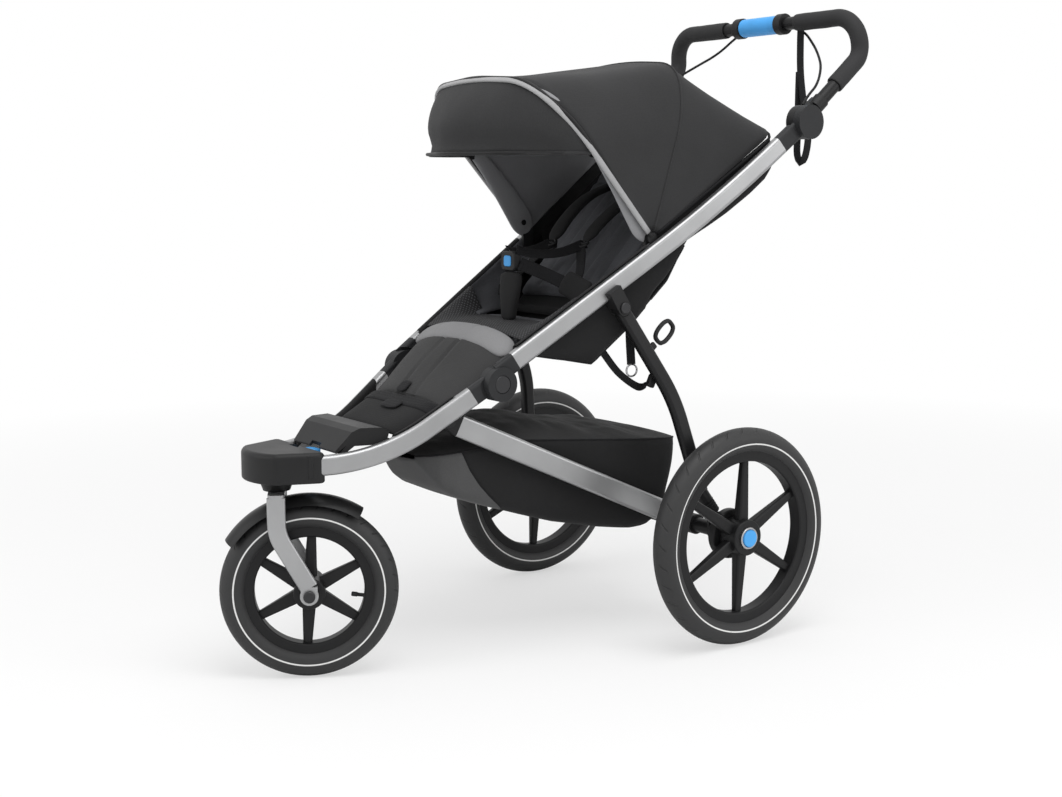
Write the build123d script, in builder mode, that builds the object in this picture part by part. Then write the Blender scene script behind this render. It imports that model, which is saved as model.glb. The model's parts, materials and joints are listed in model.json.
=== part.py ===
"""Three-wheeled jogging stroller: folding frame, swivel front wheel, seat, canopy and basket.

Millimetres.  +X is the stroller's left side, -Y the way it rolls and +Z up.  The origin is on
the floor, midway between the rear wheels, straight below their axle.
"""
from build123d import *
import os
from math import cos, degrees, hypot, pi, radians, sin, tan

os.makedirs("parts", exist_ok=True)

# ---- clearances ------------------------------------------------------------------------------
RUN = 0.05                # radial play of a running fit
GAP = 0.4                 # between faces that slide past each other

# ---- frame tubes -----------------------------------------------------------------------------
TUBE_W, TUBE_H, TUBE_R, TUBE_WALL = 20.0, 34.0, 7.0, 2.0
BAR_W, BAR_H, BAR_R = 20.0, 40.0, 6.0
PLUG_PLAY = 0.15          # play of a plug in the tube's bore

# ---- fold hub: the hinge between the upper frame and the front frame -----------------------------
HUB_X, HUB_Y, HUB_Z = 162.0, -424.0, 497.0
HUB_DISC_R = 30.0
HUB_DISC_T = 15.0
HUB_PIN_R = 8.0
HUB_SWEEP_R = 36.0        # inside this radius each half keeps to its own side

# ---- upper frame -----------------------------------------------------------------------------
UPPER_TOE = 9.06          # plan angle that the tubes splay out, degrees
UPPER_RISE = 32.6         # slope in the tube's own upright plane, degrees
UPPER_OFFSET = 15.0       # tube centre-line above the hub's centre
UPPER_START = 46.0        # along the tube from the hub
UPPER_STRAIGHT = 329.0
UPPER_BEND_R = 2990.0     # the upper half steepens gently
UPPER_BEND = 6.5

# ---- front frame -----------------------------------------------------------------------------
FRONT_TOE = 15.47
FRONT_FALL = 32.3
FRONT_OFFSET = 8.8
FRONT_START = 50.0
FRONT_STRAIGHT = 93.0
FRONT_BEND_R = 345.7
NOSE_SOCKET = 22.0        # depth of the tube in the nose housing

# ---- nose and steering, placed from the front tubes' ends ----------------------------------------
fall = radians(FRONT_FALL)
front_drop = (FRONT_START + FRONT_STRAIGHT) * sin(fall) - FRONT_OFFSET * cos(fall) + FRONT_BEND_R * (1 - cos(fall))
front_reach = (FRONT_START + FRONT_STRAIGHT) * cos(fall) + (FRONT_OFFSET + FRONT_BEND_R) * sin(fall) + NOSE_SOCKET
nose_z = HUB_Z - front_drop
nose_y = HUB_Y - front_reach * cos(radians(FRONT_TOE))
STEER_AHEAD = 23.739      # from the tubes' ends forward to the steering axis
NOSE_ABOVE, NOSE_BELOW = 23.467, 28.533
NOSE_BACK, NOSE_LENGTH = 26.261, 104.0
NOSE_FRONT_HALF, NOSE_SIDE, NOSE_CORNER = 62.0, 13.36, 22.0
STEER_Y = nose_y - STEER_AHEAD
NOSE_BOTTOM, NOSE_TOP = nose_z - NOSE_BELOW, nose_z + NOSE_ABOVE
NOSE_REAR_Y = nose_y + NOSE_BACK
NOSE_FRONT_Y = NOSE_REAR_Y - NOSE_LENGTH
STEM_R, STEM_TOP = 10.0, NOSE_TOP - 14.0
COLLAR_BOTTOM = NOSE_BOTTOM - 19.5
CROWN_BOTTOM = COLLAR_BOTTOM - 10.5
SWIVEL = -28.0            # the front wheel rests turned about the steering axis, degrees
TRAIL = 52.0

# ---- wheels ----------------------------------------------------------------------------------
REAR_R, FRONT_R = 200.0, 152.0
TYRE_SECTION_R, TYRE_WALL = 23.5, 3.5
RIM_DROP = 42.0           # from the tread down to the tyre's seat on the rim
REAR_RIM_IN, FRONT_RIM_IN = REAR_R - 61.0, FRONT_R - 59.0
RIM_HALF_W = 14.0
SPOKES = 6
SPOKE_LEAN = -3.0
TRACK_HALF = 321.5
REAR_HUB_HALF, REAR_HUB_R = 20.0, 33.0
FRONT_HUB_HALF, FRONT_HUB_R = 36.0, 27.0
AXLE_R = 6.0
CAP_R, CAP_PROUD = 20.0, 4.0
BUTTON_R, BUTTON_PROUD, BUTTON_TRAVEL = 15.6, 3.0, 3.0

# ---- fork ------------------------------------------------------------------------------------
BLADE_T, BLADE_W, BLADE_R = 10.0, 31.0, 4.5
BLADE_X = 46.0            # blade centre from the wheel's middle plane
BLADE_TOP, BLADE_KNEE, BLADE_FOOT = CROWN_BOTTOM + 5.0, 258.0, 166.0
BLADE_BEND_R = 75.0
CROWN_T, CROWN_HALF_W = 10.0, 14.0
FENDER_R, FENDER_T, FENDER_HALF, FENDER_DROP = 167.0, 3.0, 31.0, 16.0
FENDER_FRONT, FENDER_REAR = 57.0, 34.0

# ---- rear legs, shocks, lower bars and rear axle -------------------------------------------------
CARRIER_X = (TRACK_HALF - 65.5, TRACK_HALF - 37.5)
FOOT_X, FOOT_W = TRACK_HALF - 51.5, 16.0
LEG_TOP = (206.0, -190.0, 620.0)
LEG_KNEE = (233.0, -86.0, 451.0)
LEG_FOOT = (FOOT_X, -52.0, REAR_R + 81.0)
LEG_W, LEG_D, LEG_R = 18.0, 28.0, 7.0
LEG_KNEE_R = 240.0
LEG_EYE_R, LEG_PIN_R = 14.0, 6.0
SHOCK_Y, SHOCK_Z = -12.0, REAR_R + 28.0       # foot of the shock, on the axle's carrier
SHOCK_LEAN = 37.3                     # the shock leans forward, degrees
SHOCK_ROD_R, SHOCK_FOOT_R = 6.0, 10.0
SHOCK_BLOCK = (44.0, 88.0)            # sleeve of the leg along the shock, from its foot
SHOCK_TRAVEL = 15.0
BAR_X, BAR_Y, BAR_Z = 113.3, -505.0, 436.7
BAR_TOE, BAR_FALL = 8.8, 24.84
BAR_EYE_R, BAR_EYE_W, BAR_PIN_R = 13.0, 16.0, 6.0
BAR_START, BAR_LENGTH, BAR_WALL = 30.0, 448.0, 2.0
CARRIER_R, CARRIER_NECK_R = 22.0, 15.0
AXLE_TUBE_R, AXLE_TUBE_WALL = 14.0, 2.5
DRUM_R, DRUM_CLEARANCE = 46.0, 0.7
DRUM_T = TRACK_HALF - REAR_HUB_HALF - CARRIER_X[1] - DRUM_CLEARANCE
PEDAL_HALF, PEDAL_REACH = 34.0, 62.0

# ---- handlebar -------------------------------------------------------------------------------
HANDLE_X, HANDLE_Y, HANDLE_Z = 262.0, 208.0, 954.0
HANDLE_DISC_R, HANDLE_DISC_T = 32.0, 17.6
HANDLE_TUBE_R, HANDLE_WALL, FOAM_R = 13.0, 2.0, 17.0
HANDLE_ELBOW = (266.0, 352.0, 1084.0)
HANDLE_TOP = (262.0, 344.0, 1159.0)
ELBOW_R, CORNER_R = 40.0, 54.0
FOAM_START_Z, FOAM_END_X = 1025.0, 102.0
GRIP_HALF, GRIP_R = 51.0, 18.5
CLAMP_W, CLAMP_R = 19.0, 21.0
CABLE_R = 2.5
STRAP_X, STRAP_W, STRAP_T, STRAP_END_Z = 105.0, 19.0, 3.0, 878.0

# ---- seat ------------------------------------------------------------------------------------
SEAT_UNDER = ((-372, 547), (-351, 543), (-228, 519), (-152, 583), (-117, 619), (-74, 663), (-53, 701), (-36, 727))
SHELL_T = 3.0
PAD_FRONT, PAD_REAR, PAD_TOP, PAD_HALF = -369.0, -185.0, 584.0, 140.0
KNEE_BACK, KNEE_FRONT, KNEE_TOP = -374.0, -402.5, 586.0
KNEE_LIP, KNEE_LOW, KNEE_HEEL = 567.0, 558.0, 552.0
CALF = ((-405, 563), (-510, 467), (-604, 424))
CALF_T = 6.0
CALF_SIDE_GAP, CALF_SEAT_REAR = 4.5, -532     # clear of the hubs and brackets behind, on the tubes ahead
FOOTREST_LUG_DROP, FOOTREST_LUG_T, CALF_LUG_DROP = 12.0, 7.0, 4.0
FOOTREST = ((-606, 424), (-618, 431), (-654, 432), (-668, 426), (-696, 395), (-698, 388), (-664, 414), (-608, 414))
RECLINE_Y, RECLINE_Z, RECLINE_R = -172.0, 596.0, 4.0
BACK_ANGLE, BACK_LENGTH, BACK_T = 47.0, 400.0, 5.0
BACK_HALF_LOW, BACK_HALF_TOP = 150.0, 172.0
BACK_PAD_T = 16.0
BUCKLE = (0.0, -285.0, 689.0)
BUCKLE_LOW = 9.0

# ---- canopy ----------------------------------------------------------------------------------
CANOPY_Y, CANOPY_Z = -112.0, 742.0
BOW_R, BOW_ANGLE = 4.0, 131.0
BOW_ARCH = ((199.0, 0.0), (204.0, 266.0), (152.0, 368.0), (0.0, 381.0))
MID_ANGLE = 74.0
MID_ARCH = ((200.0, 0.0), (207.0, 236.0), (158.0, 330.0), (0.0, 343.0))
REAR_ANGLE = 36.0
REAR_ARCH = ((200.0, 0.0), (233.0, 316.0), (200.0, 344.0), (0.0, 346.0))
CANOPY_T, CANOPY_START = 3.0, 16.0
VISOR_REACH = 201.0       # the visor is hinged this far up the bow
VISOR_ANGLE = 180.0
VISOR_ARCH = ((200.0, 0.0), (188.0, 60.0), (120.0, 150.0), (0.0, 190.0))


def finish(piece, label):
    """Label a finished piece and write its STEP file."""
    piece.part.label = label
    export_step(piece.part, f"parts/{label}.step")


def side_plane(x):
    """Upright plane across the stroller at x: sketch x is +Y, sketch y is +Z, normal +X."""
    return Plane(origin=(x, 0, 0), x_dir=(0, 1, 0), z_dir=(1, 0, 0))


def tube_plane(toe, forward):
    """Upright plane through the fold hub along a tube: sketch x runs along it in plan."""
    sign = -1 if forward else 1
    along = (sign * sin(radians(toe)), sign * cos(radians(toe)), 0)
    normal = (sign * cos(radians(toe)), -sign * sin(radians(toe)), 0)
    return Plane(origin=(HUB_X, HUB_Y, HUB_Z), x_dir=along, z_dir=normal)


def section_plane(path, at, across):
    """Plane square to a path at one of its ends, with its sketch x along `across`."""
    return Plane(origin=path @ at, x_dir=across, z_dir=path % at)


def mirrored(piece):
    """The same piece on the other side of the stroller."""
    with BuildPart() as other:
        mirror(piece.part, about=Plane.YZ)
    return other


def pair(piece):
    """A left piece and its right twin, kept as two solids of one node."""
    with BuildPart() as both:
        add(piece.part)
        mirror(piece.part, about=Plane.YZ)
    return both


def tube_x(y, toe):
    """Distance of a frame tube's centre-line from the middle, at a given y."""
    return HUB_X + tan(radians(toe)) * (y - HUB_Y)


# ==== frame tubes =================================================================================
upper_plane = tube_plane(UPPER_TOE, forward=False)
front_plane = tube_plane(FRONT_TOE, forward=True)


def upper_point(along, above=UPPER_OFFSET):
    """Point of the upper tube's side view: along it from the hub, and above the hub."""
    a = radians(UPPER_RISE)
    return (along * cos(a) - above * sin(a), along * sin(a) + above * cos(a))


def front_point(along, above=FRONT_OFFSET):
    """Point of the front tube's side view: forward along it from the hub, and above the hub."""
    a = radians(FRONT_FALL)
    return (along * cos(a) + above * sin(a), -along * sin(a) + above * cos(a))


def upper_path(start, extra=0.0):
    """Centre-line of the upper tube from `start` along it, `extra` past its top end."""
    a = radians(UPPER_RISE)
    with BuildLine(upper_plane) as line:
        low = Line(upper_point(start), upper_point(UPPER_START + UPPER_STRAIGHT))
        bend = JernArc(low @ 1, low % 1, UPPER_BEND_R, UPPER_BEND)
        if extra:
            Line(bend @ 1, (bend @ 1) + (bend % 1) * extra)
    return line


def front_path(start, extra):
    """Centre-line of the front tube: a straight fall, then a bend into the level nose."""
    with BuildLine(front_plane) as line:
        low = Line(front_point(start), front_point(FRONT_START + FRONT_STRAIGHT))
        bend = JernArc(low @ 1, low % 1, FRONT_BEND_R, FRONT_FALL)
        Line(bend @ 1, (bend @ 1) + (bend % 1) * extra)
    return line


def swept_tube(path, across, width, height, corner, wall=0.0):
    """Rounded rectangular tube along a path, hollow if it has a wall."""
    with BuildPart() as tube:
        with BuildLine() as centre:
            add(path.line)
        with BuildSketch(section_plane(centre.line, 0, across)):
            RectangleRounded(width, height, corner)
            if wall:
                RectangleRounded(width - 2 * wall, height - 2 * wall, corner - wall, mode=Mode.SUBTRACT)
        sweep()
    return tube


upper_centre = upper_path(UPPER_START)
upper_tube_left = swept_tube(upper_centre, upper_plane.z_dir, TUBE_W, TUBE_H, TUBE_R, TUBE_WALL)
front_centre = front_path(FRONT_START, NOSE_SOCKET)
front_tube_left = swept_tube(front_centre, front_plane.z_dir, TUBE_W, TUBE_H, TUBE_R, TUBE_WALL)
front_envelope = swept_tube(front_centre, front_plane.z_dir, TUBE_W, TUBE_H, TUBE_R)
upper_envelope = swept_tube(upper_centre, upper_plane.z_dir, TUBE_W, TUBE_H, TUBE_R)
upper_top = upper_centre.line @ 1
upper_top_dir = upper_centre.line % 1
print("upper tube top end", upper_top, "front tube nose end", front_centre.line @ 1)
finish(pair(upper_tube_left), "upper_tubes")
finish(pair(front_tube_left), "front_tubes")


# ==== fold hubs =================================================================================
PLUG_LENGTH = 26.0
HUB_PIN_HEAD_R, HUB_PIN_HEAD_T = 15.6, 5.0
front_socket = swept_tube(
    front_centre, front_plane.z_dir, TUBE_W + 2 * PLUG_PLAY, TUBE_H + 2 * PLUG_PLAY, TUBE_R + PLUG_PLAY)


def hub_half(path, across, sleeve, outward):
    """Half of a fold hub: a disc on its own side of the joint and a sleeve that plugs its tube.

    `outward` is 1 for the outer half, which turns, and -1 for the inner half.
    """
    face_x = HUB_X + outward * GAP / 2
    tube_end = section_plane(path, 0, across)
    bore_w = TUBE_W - 2 * TUBE_WALL - 2 * PLUG_PLAY
    bore_h = TUBE_H - 2 * TUBE_WALL - 2 * PLUG_PLAY
    with BuildPart() as half:
        with BuildSketch(tube_end):
            RectangleRounded(TUBE_W, TUBE_H, TUBE_R)
        extrude(amount=-sleeve)
        with BuildSketch(tube_end):
            RectangleRounded(bore_w, bore_h, TUBE_R - TUBE_WALL - PLUG_PLAY)
        extrude(amount=PLUG_LENGTH)
        with BuildSketch(side_plane(face_x)):
            with Locations((HUB_Y, HUB_Z)):
                Circle(HUB_SWEEP_R)
        extrude(amount=-outward * 2 * TUBE_W, mode=Mode.SUBTRACT)
        with BuildSketch(side_plane(face_x)):
            with Locations((HUB_Y, HUB_Z)):
                Circle(HUB_DISC_R)
        extrude(amount=outward * HUB_DISC_T)
        bore_r = HUB_PIN_R + (RUN if outward > 0 else 0)
        with BuildSketch(side_plane(face_x)):
            with Locations((HUB_Y, HUB_Z)):
                Circle(bore_r)
        extrude(amount=outward * HUB_DISC_T, mode=Mode.SUBTRACT)
        if outward > 0:
            with BuildSketch(side_plane(face_x + HUB_DISC_T)):
                with Locations((HUB_Y, HUB_Z)):
                    Circle(HUB_PIN_HEAD_R + GAP)
            extrude(amount=-HUB_PIN_HEAD_T, mode=Mode.SUBTRACT)
    return half


fold_hub_left = hub_half(front_centre.line, front_plane.z_dir, FRONT_START - 8, -1)
finish(pair(fold_hub_left), "fold_hubs")
hub_arm_left = hub_half(upper_centre.line, upper_plane.z_dir, UPPER_START - 8, 1)
finish(pair(hub_arm_left), "hub_arms")

with BuildPart() as fold_pin:
    with BuildSketch(side_plane(HUB_X - GAP / 2 - HUB_DISC_T)):
        with Locations((HUB_Y, HUB_Z)):
            Circle(HUB_PIN_R)
    extrude(amount=2 * HUB_DISC_T + GAP - HUB_PIN_HEAD_T + GAP)
    with BuildSketch(side_plane(HUB_X + GAP / 2 + HUB_DISC_T - HUB_PIN_HEAD_T + GAP)):
        with Locations((HUB_Y, HUB_Z)):
            Circle(HUB_PIN_HEAD_R)
    head = extrude(amount=HUB_PIN_HEAD_T)
    chamfer(head.edges().filter_by(GeomType.CIRCLE).sort_by(Axis.X)[-1], 1.2)

CROSS_TUBE_R, CROSS_TUBE_WALL = 9.0, 1.5
with BuildPart() as hub_cross_tube:
    with BuildSketch(side_plane(-(HUB_X - GAP / 2 - HUB_DISC_T))):
        with Locations((HUB_Y, HUB_Z)):
            Circle(CROSS_TUBE_R)
            Circle(CROSS_TUBE_R - CROSS_TUBE_WALL, mode=Mode.SUBTRACT)
    extrude(amount=2 * (HUB_X - GAP / 2 - HUB_DISC_T))
finish(hub_cross_tube, "hub_cross_tube")

# ==== nose housing, steering collar and swivel lock ==================================================
LEVER_HALF, LEVER_PIN_R, LEVER_BARREL_R = 16.0, 2.5, 4.5
LEVER_REACH, LEVER_T = 37.0, 5.0
LEVER_Y, LEVER_Z = NOSE_REAR_Y - 9.0, NOSE_TOP - 10.0
LEVER_TIP_Y = LEVER_Y + LEVER_REACH
LEVER_SLOT_FLOOR = NOSE_TOP - 18.0
nose_rear_half = tube_x(NOSE_REAR_Y, FRONT_TOE) + NOSE_SIDE
nose_corner_y = NOSE_FRONT_Y + NOSE_CORNER

with BuildPart() as nose_housing:
    with BuildSketch(Plane.XY.offset(NOSE_BOTTOM)):
        with BuildLine():
            Polyline(
                (-NOSE_FRONT_HALF, nose_corner_y), (-nose_rear_half, NOSE_REAR_Y), (nose_rear_half, NOSE_REAR_Y),
                (NOSE_FRONT_HALF, nose_corner_y))
            ThreePointArc((NOSE_FRONT_HALF, nose_corner_y), (0, NOSE_FRONT_Y), (-NOSE_FRONT_HALF, nose_corner_y))
        make_face()
    extrude(amount=NOSE_TOP - NOSE_BOTTOM)
    uprights = nose_housing.edges().filter_by(Axis.Z)
    fillet(uprights.sort_by(Axis.Y)[:2], 18)
    fillet(nose_housing.edges().filter_by(Axis.Z).group_by(Axis.Y)[-1], 12)
    fillet(nose_housing.faces().sort_by(Axis.Z)[-1].edges(), 9)
    fillet(nose_housing.faces().sort_by(Axis.Z)[0].edges(), 4)
    add(front_socket.part, mode=Mode.SUBTRACT)
    mirror(front_socket.part, about=Plane.YZ, mode=Mode.SUBTRACT)
    with BuildSketch(Plane.XY.offset(NOSE_BOTTOM)):
        with Locations((0, STEER_Y)):
            Circle(STEM_R + RUN)
    extrude(amount=STEM_TOP - NOSE_BOTTOM + 2, mode=Mode.SUBTRACT)
    with BuildSketch(Plane.XY.offset(LEVER_SLOT_FLOOR)):
        with Locations((0, LEVER_Y)):
            Rectangle(2 * (LEVER_HALF + GAP), 2 * (NOSE_REAR_Y - LEVER_Y))
    extrude(amount=NOSE_TOP - LEVER_SLOT_FLOOR, mode=Mode.SUBTRACT)
    with BuildSketch(side_plane(-LEVER_HALF - 8)):
        with Locations((LEVER_Y, LEVER_Z)):
            Circle(LEVER_PIN_R)
    extrude(amount=2 * (LEVER_HALF + 8), mode=Mode.SUBTRACT)

with BuildPart() as steering_collar:
    with Locations((0, STEER_Y, COLLAR_BOTTOM)):
        Cone(23, 30, NOSE_BOTTOM - COLLAR_BOTTOM, align=(Align.CENTER, Align.CENTER, Align.MIN))
        Cylinder(STEM_R + 1, NOSE_BOTTOM - COLLAR_BOTTOM, align=(Align.CENTER, Align.CENTER, Align.MIN),
                 mode=Mode.SUBTRACT)
with BuildPart() as nose:
    add(nose_housing.part)
    add(steering_collar.part)
finish(nose, "nose_housing")

with BuildPart() as lever_pin:
    with BuildSketch(side_plane(-LEVER_HALF - 8)):
        with Locations((LEVER_Y, LEVER_Z)):
            Circle(LEVER_PIN_R)
    extrude(amount=2 * (LEVER_HALF + 8))

with BuildPart() as swivel_lever:
    with BuildSketch(side_plane(-LEVER_HALF)):
        with Locations((LEVER_Y, LEVER_Z)):
            Circle(LEVER_BARREL_R)
        with BuildLine():
            Polyline(
                (LEVER_Y, LEVER_Z - LEVER_T / 2), (LEVER_TIP_Y, LEVER_Z - LEVER_T / 2 - 1),
                (LEVER_TIP_Y, LEVER_Z + LEVER_T / 2 - 1), (LEVER_Y, LEVER_Z + LEVER_T / 2), close=True)
        make_face()
        with Locations((LEVER_Y, LEVER_Z)):
            Circle(LEVER_PIN_R + RUN, mode=Mode.SUBTRACT)
    extrude(amount=2 * LEVER_HALF)
    tip = swivel_lever.edges().filter_by(Axis.Z, tolerance=0.1).sort_by(Axis.Y)[-2:]
    fillet(tip, 6)
finish(swivel_lever, "swivel_lever")

# ==== footrest, calf rest and knee roll ==============================================================


def between_tubes(profile, gap, y_front, y_rear, toe, side_gap=0.0):
    """Extrude a side profile right across, and trim it to the inner faces of the frame tubes."""
    reach = HUB_X + 60
    half = TUBE_W / 2 / cos(radians(toe)) + side_gap + gap
    with BuildPart() as piece:
        with BuildSketch(side_plane(-reach)):
            add(profile.sketch)
        extrude(amount=2 * reach)
        with BuildSketch(Plane.XY):
            with BuildLine():
                Polyline(
                    (tube_x(y_front, toe) - half, y_front), (tube_x(y_rear, toe) - half, y_rear),
                    (half - tube_x(y_rear, toe), y_rear), (half - tube_x(y_front, toe), y_front), close=True)
            make_face()
        extrude(amount=2000, mode=Mode.INTERSECT)
    return piece


SEAT_GAP = 0.35           # cloth and mouldings beside the tubes

with BuildSketch() as footrest_side:
    with BuildLine():
        Polyline(*FOOTREST, close=True)
    make_face()
    fillet(footrest_side.vertices().sort_by(Axis.X)[:1], 2)
with BuildSketch() as footrest_lug_side:
    with Locations((0, -FOOTREST_LUG_DROP)):
        add(footrest_side.sketch)
with BuildPart() as footrest:
    add(between_tubes(footrest_lug_side, SEAT_GAP, -720, -600, FRONT_TOE).part)
    add(between_tubes(footrest_lug_side, SEAT_GAP, -720, -600, FRONT_TOE, side_gap=FOOTREST_LUG_T).part,
        mode=Mode.SUBTRACT)
    add(between_tubes(footrest_side, SEAT_GAP, -720, -600, FRONT_TOE).part)
    with BuildSketch(side_plane(-LEVER_HALF - 3 * GAP)):
        with Locations((LEVER_Y, LEVER_Z)):
            Circle(LEVER_REACH + 4 * GAP)
    extrude(amount=2 * (LEVER_HALF + 3 * GAP), mode=Mode.SUBTRACT)
finish(footrest, "footrest")

with BuildSketch() as calf_side:
    with BuildLine():
        Polyline(*CALF)
    trace(line_width=CALF_T)
with BuildSketch() as calf_lug_side:
    with Locations((0, -CALF_LUG_DROP)):
        add(calf_side.sketch)
with BuildPart() as calf_rest:
    add(between_tubes(calf_lug_side, SEAT_GAP, -620, CALF_SEAT_REAR, FRONT_TOE).part)
    add(between_tubes(calf_lug_side, SEAT_GAP, -620, CALF_SEAT_REAR, FRONT_TOE, side_gap=FOOTREST_LUG_T).part,
        mode=Mode.SUBTRACT)
    add(between_tubes(calf_side, SEAT_GAP, -620, CALF_SEAT_REAR, FRONT_TOE).part)
    add(between_tubes(calf_side, SEAT_GAP, -620, -395, FRONT_TOE, side_gap=CALF_SIDE_GAP).part)
finish(calf_rest, "calf_rest")

with BuildSketch() as knee_side:
    with BuildLine():
        Polyline((KNEE_FRONT, KNEE_LIP), (KNEE_FRONT, KNEE_LOW), (KNEE_BACK, KNEE_HEEL), (KNEE_BACK, KNEE_TOP))
        ThreePointArc((KNEE_BACK, KNEE_TOP), ((KNEE_BACK + KNEE_FRONT) / 2 - 2, KNEE_TOP - 4), (KNEE_FRONT, KNEE_LIP))
    make_face()
knee_roll = between_tubes(knee_side, SEAT_GAP, -420, -360, 0, side_gap=6)
finish(knee_roll, "knee_roll")

# ==== brackets and pins that carry the lower bars ====================================================
CHEEK_R, CHEEK_T, CHEEK_HALF = 12.8, 8.0, 14.0
CHEEK_RISE, BRIDGE_T = 21.0, 7.0


def bracket_cheek(x, thickness):
    """Cheek of the bar bracket: round below the pin and square above it."""
    with BuildPart() as cheek:
        with BuildSketch(side_plane(x)):
            with Locations((BAR_Y, BAR_Z)):
                Circle(CHEEK_R)
            with Locations((BAR_Y, BAR_Z + CHEEK_RISE / 2)):
                Rectangle(2 * CHEEK_HALF, CHEEK_RISE)
        extrude(amount=thickness)
    return cheek


inner_cheek_x = BAR_X - BAR_EYE_W / 2 - GAP - CHEEK_T
outer_cheek_x = BAR_X + BAR_EYE_W / 2 + GAP
outer_cheek_t = 14.0
with BuildPart() as bar_bracket:
    add(bracket_cheek(inner_cheek_x, CHEEK_T).part)
    add(bracket_cheek(outer_cheek_x, outer_cheek_t).part)
    with BuildSketch(side_plane(inner_cheek_x)):
        with Locations((BAR_Y, BAR_Z + CHEEK_RISE - BRIDGE_T / 2)):
            Rectangle(2 * CHEEK_HALF, BRIDGE_T)
    extrude(amount=CHEEK_T + BAR_EYE_W + 2 * GAP)
    add(front_envelope.part, mode=Mode.SUBTRACT)
    with BuildSketch(side_plane(inner_cheek_x)):
        with Locations((BAR_Y, BAR_Z)):
            Circle(BAR_PIN_R)
    extrude(amount=4 * BAR_EYE_W, mode=Mode.SUBTRACT)
finish(pair(bar_bracket), "bar_brackets")

with BuildPart() as bar_pin:
    with BuildSketch(side_plane(inner_cheek_x - 2)):
        with Locations((BAR_Y, BAR_Z)):
            Circle(BAR_PIN_R + 2)
    extrude(amount=2)
    with BuildSketch(side_plane(inner_cheek_x)):
        with Locations((BAR_Y, BAR_Z)):
            Circle(BAR_PIN_R)
    extrude(amount=CHEEK_T + BAR_EYE_W + 2 * GAP + 5)
with BuildPart() as frame_pins:
    for pin in (pair(fold_pin), pair(bar_pin), lever_pin):
        add(pin.part)
finish(frame_pins, "frame_pins")

# ==== fork, front axle and fender ==================================================================
swivel = radians(SWIVEL)
wheel_axis = Vector(cos(swivel), sin(swivel), 0)
trail_dir = Vector(-sin(swivel), cos(swivel), 0)
steer_foot = Vector(0, STEER_Y, 0)
front_centre_point = steer_foot + trail_dir * TRAIL + Vector(0, 0, FRONT_R)


def fork_plane(offset):
    """Side view of the fork, `offset` along the wheel's axle: sketch x trails, sketch y is up."""
    return Plane(origin=steer_foot + wheel_axis * offset, x_dir=trail_dir, z_dir=wheel_axis)


def fork_blade(side):
    """One bent blade of the fork, from the crown down to the dropout."""
    with BuildPart() as blade:
        with BuildLine(fork_plane(side * BLADE_X)) as path:
            FilletPolyline((0, BLADE_TOP), (0, BLADE_KNEE), (TRAIL, BLADE_FOOT), radius=BLADE_BEND_R)
        with BuildSketch(section_plane(path.line, 0, wheel_axis)):
            RectangleRounded(BLADE_T, BLADE_W, BLADE_R)
        sweep()
        with BuildSketch(fork_plane(side * BLADE_X - BLADE_T / 2)):
            with Locations((TRAIL, FRONT_R)):
                Circle(BLADE_W / 2)
            with Locations((TRAIL, (FRONT_R + BLADE_FOOT) / 2)):
                Rectangle(BLADE_W * 0.9, BLADE_FOOT - FRONT_R + 4)
        extrude(amount=BLADE_T)
    return blade


blades = [fork_blade(side) for side in (-1, 1)]
with BuildPart() as fork:
    for blade in blades:
        add(blade.part)
    with BuildSketch(Plane(origin=(0, STEER_Y, CROWN_BOTTOM), x_dir=wheel_axis, z_dir=(0, 0, 1))):
        RectangleRounded(2 * BLADE_X + BLADE_T, 2 * CROWN_HALF_W, 8)
    extrude(amount=CROWN_T)
    with BuildSketch(Plane.XY.offset(CROWN_BOTTOM)):
        with Locations((0, STEER_Y)):
            Circle(STEM_R)
    extrude(amount=STEM_TOP - CROWN_BOTTOM)
    with BuildSketch(fork_plane(-BLADE_X - BLADE_T)):
        with Locations((TRAIL, FRONT_R)):
            Circle(AXLE_R)
    extrude(amount=2 * (BLADE_X + BLADE_T), mode=Mode.SUBTRACT)
finish(fork, "fork")

AXLE_HEAD_R, AXLE_HEAD_T = 10.0, 7.0
SPACER_R = 9.5
with BuildPart() as front_axle:
    dropout = BLADE_X + BLADE_T / 2
    with BuildSketch(fork_plane(-dropout)):
        with Locations((TRAIL, FRONT_R)):
            Circle(AXLE_R)
    extrude(amount=2 * dropout)
    for side in (-1, 1):
        with BuildSketch(fork_plane(side * dropout)):
            with Locations((TRAIL, FRONT_R)):
                Circle(AXLE_HEAD_R)
        head = extrude(amount=side * AXLE_HEAD_T)
        with BuildSketch(fork_plane(side * (FRONT_HUB_HALF + GAP))):
            with Locations((TRAIL, FRONT_R)):
                Circle(SPACER_R)
        extrude(amount=side * (BLADE_X - BLADE_T / 2 - FRONT_HUB_HALF - GAP))
    outer_rims = front_axle.edges().filter_by(GeomType.CIRCLE).filter_by(
        lambda e: abs(e.radius - AXLE_HEAD_R) < 0.01 and abs((e.center() - front_centre_point).dot(wheel_axis)) > 55)
    chamfer(outer_rims, 1.5)
finish(front_axle, "front_axle")

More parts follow.
